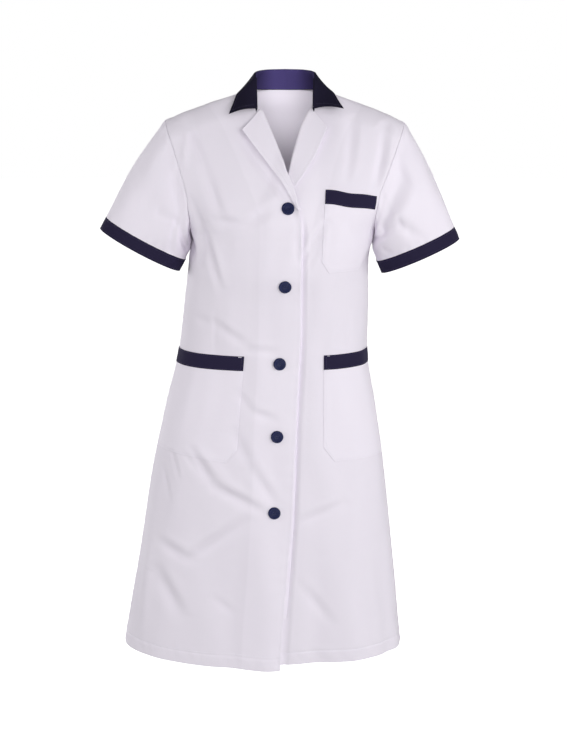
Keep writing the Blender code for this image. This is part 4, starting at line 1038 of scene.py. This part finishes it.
lapelCut = {
    # outer edge in x and z, from the tip at the notch down to the break of the roll
    "edge": {
        -1: ((-0.0690, -0.0620), (-0.0372, -0.1010), (-0.0045, -0.1425), (+0.0085, -0.1640), (+0.0155, -0.1785)),
        1: ((+0.0686, -0.0575), (+0.0455, -0.1050), (+0.0215, -0.1400), (+0.0010, -0.1660), (-0.0150, -0.1870)),
    },
    "topZ": {-1: -0.0285, 1: -0.0260}, "endZ": {-1: -0.1850, 1: -0.1900},
    "standOff": 0.0045, "edgeOff": {-1: 0.0026, 1: 0.0012}, "roll": 0.0015, "gap": 0.0006,
    "rollTurns": np.linspace(-15, 78, 10),  # degrees round the front's edge
    "rows": 60, "columns": 20,
    "stitch": 0.0050, "sunk": (0.0012, 0.0003, 0.0010), "edgeOffFade": (0.72, 0.95),
}
collarCut = {
    "ribs": (
        # x, y and z of the seam, of the fold at its top and of the outer edge, from the back to the notch
        (0.0000, 0.0600, 0.0020, 0.0000, 0.0660, 0.0355, 0.0000, 0.0860, -0.0080),
        (0.0290, 0.0535, 0.0030, 0.0265, 0.0580, 0.0352, 0.0380, 0.0810, -0.0075),
        (0.0500, 0.0350, 0.0050, 0.0440, 0.0350, 0.0335, 0.0640, 0.0560, -0.0030),
        (0.0575, 0.0120, 0.0080, 0.0480, 0.0110, 0.0310, 0.0735, 0.0230, +0.0010),
        (0.0560, -0.0080, 0.0040, 0.0480, -0.0080, 0.0240, 0.0785, -0.0080, -0.0010),
        (0.0515, -0.0240, -0.0100, 0.0470, -0.0235, 0.0030, 0.0850, -0.0280, -0.0150),
        (0.0468, -0.0400, -0.0295, 0.0462, -0.0405, -0.0235, 0.0920, -0.0450, -0.0315),
    ),
    "wall": 0.0015, "foldRadius": 0.0032, "bow": 0.0070, "bowFrom": 8,
    "tipRise": {-1: 0.0, 1: 0.0090}, "tipOut": {-1: 0.0, 1: 0.0035},
    "tuck": (0.0005, 0.0035),           # how far the stand reaches down inside the back, middle and sides
    "paintedLightTo": 0.66,                    # how far round the stand its inner face carries painted light
    "steps": 120, "standSteps": 7, "foldSteps": 10, "fallSteps": 16,
    "stitch": 0.0050, "sunk": (0.0013, 0.0003, 0.0010), "wave": 0.0005,
}


def makeLapel(name, side):
    c = lapelCut
    shares = sharesWith(c["rows"], (0.004, 0.010), (0.006,))
    lifts = c["gap"] + cloth["solidWall"] + c["roll"] * (1 - shares) ** 1.5
    rollZ = lerp(c["topZ"][side], c["endZ"][side], shares)
    rollX = edgeAt[side](rollZ)
    corners = np.array(c["edge"][side])
    knots = np.concatenate(([0], np.cumsum(np.linalg.norm(np.diff(corners, axis=0), axis=1))))
    edgeX, edgeZ = (curveThrough(knots / knots[-1], values)(shares) for values in corners.T)
    along = waysAlong(clothPoints(side, front, angleAt(side, rollX, rollZ), rollZ)[0], 0)
    wall = cloth["solidWall"]
    leaf = sharesWith(c["columns"], (), (0.012, 0.03))
    outer, inner, outs = [], [], []
    for i, lift in enumerate(lifts):
        radius = wall / 2 + lift
        rim, out = clothPoints(side, front, angleAt(side, rollX[i], rollZ[i]), rollZ[i])
        beyond = unit(np.cross(along[i], out)) * side
        middle = rim - out * wall / 2
        roundEdge = [np.cos(turn) * beyond + np.sin(turn) * out for turn in np.radians(c["rollTurns"])]
        x, z = lerp(rollX[i], edgeX[i], leaf), lerp(rollZ[i], edgeZ[i], leaf)
        standOff = c["standOff"] * (1 - shares[i]) ** 2 * leaf ** 1.5
        standOff = standOff + c["edgeOff"][side] * leaf ** 2 * (1 - smoothStep(*c["edgeOffFade"], shares[i]))
        across = np.hypot(edgeX[i] - rollX[i], edgeZ[i] - rollZ[i]) * (1 - leaf)
        groove = sewnEdge(across, c["stitch"], *c["sunk"])
        points, normals = clothPoints(side, front, angleAt(side, x, z), z, lift + standOff + groove)
        outer.append(np.array([middle + way * radius for way in roundEdge] + list(points)))
        inner.append(np.array([middle + way * (radius - wall) for way in roundEdge]
                              + list(points - normals * wall)))
        outs.append(normals)
    piece = clothMesh(name + "_cloth", outer, inner, whiteTwill, rounded=(0.3, 0.2, 0, 0.3))
    grids = np.array(outer)[:, len(c["rollTurns"]):], np.array(outs)
    long = np.linalg.norm(corners[-1] - corners[0])
    widths = np.hypot(edgeX - rollX, edgeZ - rollZ)
    down = np.linspace(c["stitch"] / long, 0.93, 260)
    beside = 1 - c["stitch"] / np.interp(down, shares, widths)
    keep = beside > 0.15
    sewOn(name, grids, shares, leaf, down[keep], beside[keep])
    sewOn(name, grids, shares, leaf, down[0], np.linspace(0.30, beside[0], 60))
    return dress(piece, "white_cloth", name)


def collarRib(seam, fold, edge, along, bow, tuck):
    c = collarCut
    up = fold - seam
    tall = np.linalg.norm(up - along * (along @ up))
    up = unit(up - along * (along @ up))
    away = np.cross(up, along)
    away = away * np.sign(away @ (edge - seam))
    radius = min(c["foldRadius"], 0.45 * tall)
    heart = fold - up * radius
    over = [heart + radius * (np.sin(turn) * up - np.cos(turn) * away)
            for turn in np.linspace(0, np.pi * 0.85, c["foldSteps"] + 1)]
    stand = [lerp(seam - up * tuck, over[0], share) for share in np.linspace(0, 1, c["standSteps"] + 1)[:-1]]
    fall = [lerp(over[-1], edge, share) + up * bow * np.sin(np.pi * share)
            for share in sharesWith(c["fallSteps"], (), (0.015, 0.035))[1:]]
    return np.array(stand + over + fall)


def makeCollar():
    c = collarCut
    ribs = np.array(c["ribs"])
    knots = np.linspace(0, 1, len(ribs))
    places = np.unique(np.concatenate((np.linspace(-1, 1, c["steps"] + 1), (-0.997, -0.990, 0.990, 0.997))))
    values = np.stack([curveThrough(knots, ribs[:, k])(np.abs(places)) for k in range(9)], -1)
    out, way = np.abs(places), np.where(places > 0, 1, -1)
    values[:, [0, 3, 6]] *= way[:, None]
    values[:, 8] += np.where(way > 0, c["tipRise"][1], c["tipRise"][-1]) * out ** 4
    values[:, 6] += way * np.where(way > 0, c["tipOut"][1], c["tipOut"][-1]) * out ** 4
    bows = c["bow"] * out ** c["bowFrom"]
    tucks = lerp(*c["tuck"], np.minimum(out / 0.5, 1) ** 2) * (1 - smoothStep(0.60, 0.80, out))
    seam, fold, edge = values[:, :3], values[:, 3:6], values[:, 6:]
    grid = np.array([collarRib(*rib) for rib in zip(seam, fold, edge, waysAlong(fold, 0), bows, tucks)])
    normals = unit(np.cross(waysAlong(grid, 0), waysAlong(grid, 1)))
    toEdge = np.linalg.norm(grid - grid[:, -1:], axis=-1)
    fallFrom = c["standSteps"] + c["foldSteps"]
    onFall = np.arange(grid.shape[1])[None] > fallFrom
    width, rimDip, rimWidth = c["sunk"]
    groove = -threadCut["dip"] * bell(toEdge - c["stitch"], width) * onFall - rimDip * bell(toEdge, rimWidth)
    wave = c["wave"] * np.sin(9 * places + 1)[:, None] * np.linspace(0, 1, grid.shape[1])[None] * onFall
    grid = grid + normals * (groove + wave)[..., None]
    piece = clothMesh("collar_cloth", grid, grid - normals * c["wall"], collarTwill, rounded=(0.3, 0.3, 0, 0.3))
    piece.data.materials.append(navyWithPaintedLight)          # painted light: the inner face of the stand gets the lighter purple material
    inside = np.zeros(len(piece.data.polygons), int)
    # painted light: these faces of the stand take the purple material
    paintedLit = (out[:-1] < c["paintedLightTo"])[:, None] & (np.arange(grid.shape[1] - 1) < fallFrom - 4)[None]
    inside[:paintedLit.size] = paintedLit.ravel()
    piece.data.polygons.foreach_set("material_index", inside)

    columns, v = np.arange(grid.shape[1]), np.linspace(-1, 1, 700)
    tall = np.array([np.interp(c["stitch"], line[:fallFrom:-1], columns[:fallFrom:-1]) for line in toEdge])
    fromFirst, fromLast = (np.linalg.norm(grid[:, -1] - grid[end, -1], axis=-1) for end in (0, -1))
    first = np.interp(c["stitch"], fromFirst[:20], places[:20])
    last = np.interp(c["stitch"], fromLast[:-20:-1], places[:-20:-1])
    v = v[(v > first) & (v < last)]
    sewOn("collar", (grid, normals), places, columns, v, np.interp(v, places, tall))
    for place in (first, last):
        u = np.linspace(fallFrom + 1, np.interp(place, places, tall), 60)
        sewOn("collar", (grid, normals), places, columns, place, u)
    return dress(piece, "navy_cloth", "collar")


for sideName, side in sides.items():
    pieces["lapel_" + sideName] = makeLapel("lapel_" + sideName, side)
pieces["collar"] = makeCollar()
print("lapels and collar made")


# Pockets and bands

hipPocket = {
    # inner edge, its lean, depth, rise of the bottom, and the cut corner's width and height
    "shapes": {
        -1: (0.0670, 0.0150, 0.1785, 0.0250, 0.0160, 0.0220),
        1: (0.0642, 0.0, 0.1790, 0.0, 0.0185, 0.0246),
    },
    "topZ": -0.4250, "band": 0.0240, "far": 0.3500, "seamMargin": 0.0020, "rows": 56, "columns": 34,
}
chestPocket = {
    "innerX": 0.0655, "outerX": 0.1500, "topZ": -0.1520, "outerTopZ": -0.1645, "depth": 0.1345, "band": 0.0215,
    "innerLean": 0.0065, "outerLean": 0.0200, "chamferX": 0.0120, "chamferZ": 0.0190,
    "wave": 0.0006, "wavePitch": 0.052,     # the band waves a little
    "rows": 46, "columns": 30,
}
layers = {
    # gap below, wall, cloth, slot
    "pocket": (0.0003, 0.0008, whiteTwill, "white_cloth"),
    "band": (0.0012, 0.0009, navyTwill, "navy_cloth"),
}
trim = {
    # from the edge to the stitches, then the width of their groove and the depth and width of the rim's
    "pocket": (0.0022, 0.0011, 0.0004, 0.0008),
    "band": (0.0020, 0.0010, 0.0004, 0.0007),
    "turned": (0.008, 0.011, 0.00025),  # where the edge that is turned in ends, and how much it adds
    "bandRow": 0.09, "bandEnd": 0.024,  # shares down and across a band where its stitches run
    "tack": (0.05, 0.0035, 0.0002),     # the bar tack's place down and in from the corner, and its lift
    "bandEdge": 0.0002,                 # how far a band reaches past its pocket's edge
    "flatter": (0.0, 0.022),            # the layers thin out over this last stretch before the side seam
}


def layOn(name, side, angles, heights, layer, relief, thin=1.0, rounded=(0.3, 0.3, 0.3, 0.3)):
    gap, wall, material, slot = layers[layer]
    points, normals = clothPoints(side, front, angles, heights, (gap + wall) * thin + relief)
    inner, _ = clothPoints(side, front, angles, heights, gap * thin)
    pieces[name] = dress(clothMesh(name + "_cloth", points, inner, material, rounded=rounded), slot, name)
    return points, normals


def turnedEdge(nearest):                # the cloth is thinner inside its turned edge
    start, end, extra = trim["turned"]
    return sewnEdge(nearest, *trim["pocket"]) - extra * smoothStep(start, end, nearest)


def thinning(side, angles, heights):
    reach = quarterShare(angles) * quarterLength(heights)
    return lerp(0.35, 1.0, smoothStep(*trim["flatter"], reach))


def seamAngle(heights):                 # where a hip pocket starts, just inside the side seam
    return (hipPocket["seamMargin"] / depthAt[front](heights)) ** (squareness / 2)


def bandDown():
    return sharesWith(10, (0.03, 0.07), (0.03, 0.07))


def makeHipPocket(sideName, side):
    c = hipPocket
    innerX, lean, depth, rise, cutX, cutZ = c["shapes"][side]
    foot = innerX + lean + cutX
    down = np.unique(np.concatenate((sharesWith(c["rows"], (0.003, 0.008), (0.003, 0.008, 0.0125, 0.02)),
                                     [1 - cutZ / depth])))
    shares = sharesWith(c["columns"], (), (0.006, 0.014, 0.020, 0.030))
    inner = innerX + lean * down + cutX * np.clip(1 - (1 - down) * depth / cutZ, 0, 1)
    bottom = np.zeros((len(down), len(shares))) + c["topZ"] - depth
    for _ in range(4):
        heights = lerp(c["topZ"], bottom, down[:, None])
        angles = lerp(seamAngle(heights), angleAt(side, side * inner[:, None], heights), shares)
        x = xAt(side, angles, heights)
        bottom = c["topZ"] - depth + rise * np.clip((np.abs(x) - foot) / (c["far"] - foot), 0, 1)
    nearest = np.minimum(np.abs(x - side * inner[:, None]), heights - bottom)
    pocket = "hip_pocket_" + sideName
    grid = layOn(pocket, side, angles, heights, "pocket", turnedEdge(nearest), thinning(side, angles, heights),
                 (0.2, 0.3, 0, 0.3))
    width = np.abs(np.abs(x[:, 0]) - inner)
    foot = 1 - trim["pocket"][0] / depth
    v = np.linspace(c["band"] / depth, foot, 400)
    sewOn(pocket, grid, down, shares, v, 1 - trim["pocket"][0] / np.interp(v, down, width))
    sewOn(pocket, grid, down, shares, foot, np.linspace(0.01, 1 - trim["pocket"][0] / width[-1], 300))

    down = bandDown()
    z = lerp(c["topZ"] + trim["bandEdge"], c["topZ"] - c["band"], down)
    inner = innerX - trim["bandEdge"] + lean * (c["topZ"] - z) / depth
    angles = lerp(seamAngle(z)[:, None], angleAt(side, side * inner, z)[:, None], shares)
    heights = np.broadcast_to(z[:, None], angles.shape)
    x = xAt(side, angles, heights)
    nearest = np.minimum(np.minimum(c["topZ"] - heights, heights - c["topZ"] + c["band"]),
                         np.abs(x - side * inner[:, None]))
    band = "hip_pocket_band_" + sideName
    grid = layOn(band, side, angles, heights, "band", sewnEdge(nearest, *trim["band"]),
                 thinning(side, angles, heights), (0.3, 0.3, 0, 0.3))
    width = abs(abs(x[0, 0]) - inner[0])
    end = 1 - trim["band"][0] / width
    for v in (trim["band"][0] / c["band"], 1 - trim["band"][0] / c["band"]):
        sewOn(band, grid, down, shares, v, np.linspace(0.01, end, 300))
    sewOn(band, grid, down, shares, np.linspace(trim["bandRow"], 1 - trim["bandRow"], 30), end)
    below, inwards, lift = trim["tack"]
    corner, out = gridLine(grid, down, shares, [below], 1 - inwards / width)
    sew(pocket, *barTack(corner[0] + out[0] * lift, out[0], np.array((side, 0.0, 0.0))))


def chestGrid(depthFrom, depthTo, down, shares, cut):
    c = chestPocket
    innerEnd = c["topZ"] - depthTo
    outerEnd = innerEnd if cut else c["outerTopZ"] - depthTo
    u, v = np.meshgrid(shares, down)
    z = lerp(lerp(c["topZ"] - depthFrom, c["outerTopZ"] - depthFrom, u), lerp(innerEnd, outerEnd, u), v)
    innerX = c["innerX"] - c["innerLean"] * (c["topZ"] - z) / c["depth"]
    outerX = c["outerX"] - c["outerLean"] * (c["outerTopZ"] - z) / c["depth"]
    if cut:
        chamfer = c["chamferX"] * np.clip(1 - (z - innerEnd) / c["chamferZ"], 0, 1)
        innerX, outerX = innerX + chamfer, outerX - chamfer
    return lerp(innerX, outerX, u), z, innerX, outerX


def makeChestPocket():
    c = chestPocket
    close = (0.010, 0.022, 0.034)
    shares = sharesWith(c["columns"], close, close)
    down = np.unique(np.concatenate((sharesWith(c["rows"], (0.006, 0.014), (0.006, 0.014, 0.022)),
                                     [1 - c["chamferZ"] / c["depth"]])))
    x, z, innerX, outerX = chestGrid(0, c["depth"], down, shares, True)
    nearest = np.minimum(np.minimum(x - innerX, outerX - x), z - (c["topZ"] - c["depth"]))
    grid = layOn("chest_pocket", 1, angleAt(1, x, z), z, "pocket", turnedEdge(nearest))
    v = np.linspace(c["band"] / c["depth"], 1 - trim["pocket"][0] / c["depth"], 300)
    inset = trim["pocket"][0] / np.interp(v, down, x[:, -1] - x[:, 0])
    for u in (inset, 1 - inset):
        sewOn("chest_pocket", grid, down, shares, v, u)
    sewOn("chest_pocket", grid, down, shares, v[-1], np.linspace(inset[-1], 1 - inset[-1], 200))

    down = bandDown()
    x, z, innerX, outerX = chestGrid(-trim["bandEdge"], c["band"], down, shares, False)
    z = z + c["wave"] * np.sin(2 * np.pi * (x - c["innerX"]) / c["wavePitch"])
    nearest = np.minimum(np.minimum(x - innerX, outerX - x), np.minimum(down, 1 - down)[:, None] * c["band"])
    grid = layOn("chest_pocket_band", 1, angleAt(1, x, z), z, "band", sewnEdge(nearest, *trim["band"]))
    v, u = ((inset, 1 - inset) for inset in (trim["bandRow"], trim["bandEnd"]))
    for k in (0, 1):
        sewOn("chest_pocket_band", grid, down, shares, v[k], np.linspace(*u, 200))
    for k in (0, 1):
        sewOn("chest_pocket_band", grid, down, shares, np.linspace(*v, 30), u[k])


for sideName, side in sides.items():
    makeHipPocket(sideName, side)
makeChestPocket()
print("pockets and bands made")


# Buttons

buttonCut = {
    "places": (
        (0.0047, -0.1815), (-0.0001, -0.3062), (-0.0089, -0.4366), (-0.0132, -0.5581), (-0.0178, -0.6867),
    ),
    "profile": (
        # radius and height: the dish, its inner ring, the raised rim and the underside
        (0.0, 0.0015), (0.0036, 0.0015), (0.0040, 0.0017), (0.0043, 0.0020), (0.0048, 0.0021),
        (0.0052, 0.0020), (0.0055, 0.0017), (0.0062, 0.0016), (0.0067, 0.0020), (0.0071, 0.0028),
        (0.0076, 0.0030), (0.0088, 0.0029), (0.0096, 0.0026), (0.0102, 0.0020), (0.0104, 0.0014),
        (0.0102, 0.0008), (0.0094, 0.0002), (0.0085, 0.0), (0.0, 0.0),
    ),
    "sides": 64, "liftOff": 0.0007,
    "holeOut": 0.0021, "holeRadius": 0.00085, "holeFloor": 0.0005,     # thread fills the rest of each hole
}


def buttonMaterial():
    # Cast polyester resin, tumbled to a soft shine: navy, clouded with a slightly lighter blue.
    material, tree, shader = newMaterial("tumbledNavyPolyesterResin")
    place = addNode(tree, "ShaderNodeTexCoord").outputs["Object"]
    swirl = addNode(tree, "ShaderNodeTexNoise",
                    {"Vector": place, "Scale": 260.0, "Detail": 3.0, "Distortion": 1.4})
    plug(tree, shader, {"Base Color": blend(tree, swirl.outputs["Fac"], "0A1034", "151F4E"), "Roughness": 0.42,
                        "Specular IOR Level": 0.18, "Coat Weight": 0.05, "Coat Roughness": 0.12})
    return material


def linkMesh(name, edit):
    mesh = bpy.data.meshes.new(name)
    edit.to_mesh(mesh)
    edit.free()
    made = bpy.data.objects.new(name, mesh)
    bpy.context.scene.collection.objects.link(made)
    return made


def buttonMesh():
    c = buttonCut
    edit = bmesh.new()
    verts = [edit.verts.new((x, 0, z)) for x, z in c["profile"]]
    edges = [edit.edges.new(pair) for pair in zip(verts, verts[1:])]
    bmesh.ops.spin(edit, geom=verts + edges, axis=(0, 0, 1), cent=(0, 0, 0), steps=c["sides"], angle=2 * np.pi,
                   use_merge=True)
    bmesh.ops.remove_doubles(edit, verts=edit.verts, dist=1e-6)
    bmesh.ops.recalc_face_normals(edit, faces=edit.faces)
    blank = linkMesh("buttonBlank", edit)
    drills, long = bmesh.new(), 0.01
    for turn in np.radians((45, 135, 225, 315)):
        made = bmesh.ops.create_cone(drills, cap_ends=True, segments=20, radius1=c["holeRadius"],
                                     radius2=c["holeRadius"], depth=long)
        place = np.cos(turn) * c["holeOut"], np.sin(turn) * c["holeOut"], c["holeFloor"] + long / 2
        bmesh.ops.translate(drills, verts=made["verts"], vec=place)
    drill = linkMesh("buttonDrills", drills)
    cut = blank.modifiers.new("holes", "BOOLEAN")
    cut.object, cut.operation, cut.solver = drill, "DIFFERENCE", "EXACT"
    graph = bpy.context.evaluated_depsgraph_get()
    made = bpy.data.meshes.new_from_object(blank.evaluated_get(graph))
    bpy.data.objects.remove(blank)
    bpy.data.objects.remove(drill)
    return made


def makeButtons():
    c = buttonCut
    material, shape = buttonMaterial(), buttonMesh()
    for number, (x, z) in enumerate(c["places"], start=1):
        point, out = clothPoints(-1, front, angleAt(-1, x, z), z, cloth["seamGap"] + c["liftOff"])
        turn = Vector(out).to_track_quat("Z", "Y").to_matrix().to_4x4()
        turn.translation = Vector(point)
        mesh = shape.copy()
        mesh.transform(turn)
        name = f"button_{number}_resin"
        pieces[name] = dress(finishPiece(name, mesh, material), "button", f"button_{number}")


makeButtons()
print("buttons made")


# Thread, and what the neck lamp lights

sewn = 0
for node in threadRows:
    navy = "band" in node or "cuff" in node or node == "collar"
    thread = makeThread(node, navyThread if navy else whiteThread)
    pieces[node + "_thread"] = dress(thread, "navy_cloth" if navy else "white_cloth")
    sewn += len(thread.data.polygons) // 14
print("stitched:", sewn, "stitches")

receivers = bpy.data.collections.new("litByNeckLamp")
for name in studio["neckLamp"]["lights"]:
    receivers.objects.link(bpy.data.objects[name])
neckLamp.light_linking.receiver_collection = receivers


# Totals

print("pieces:", len(pieces), " triangles:", 2 * sum(len(p.data.polygons) for p in pieces.values()))
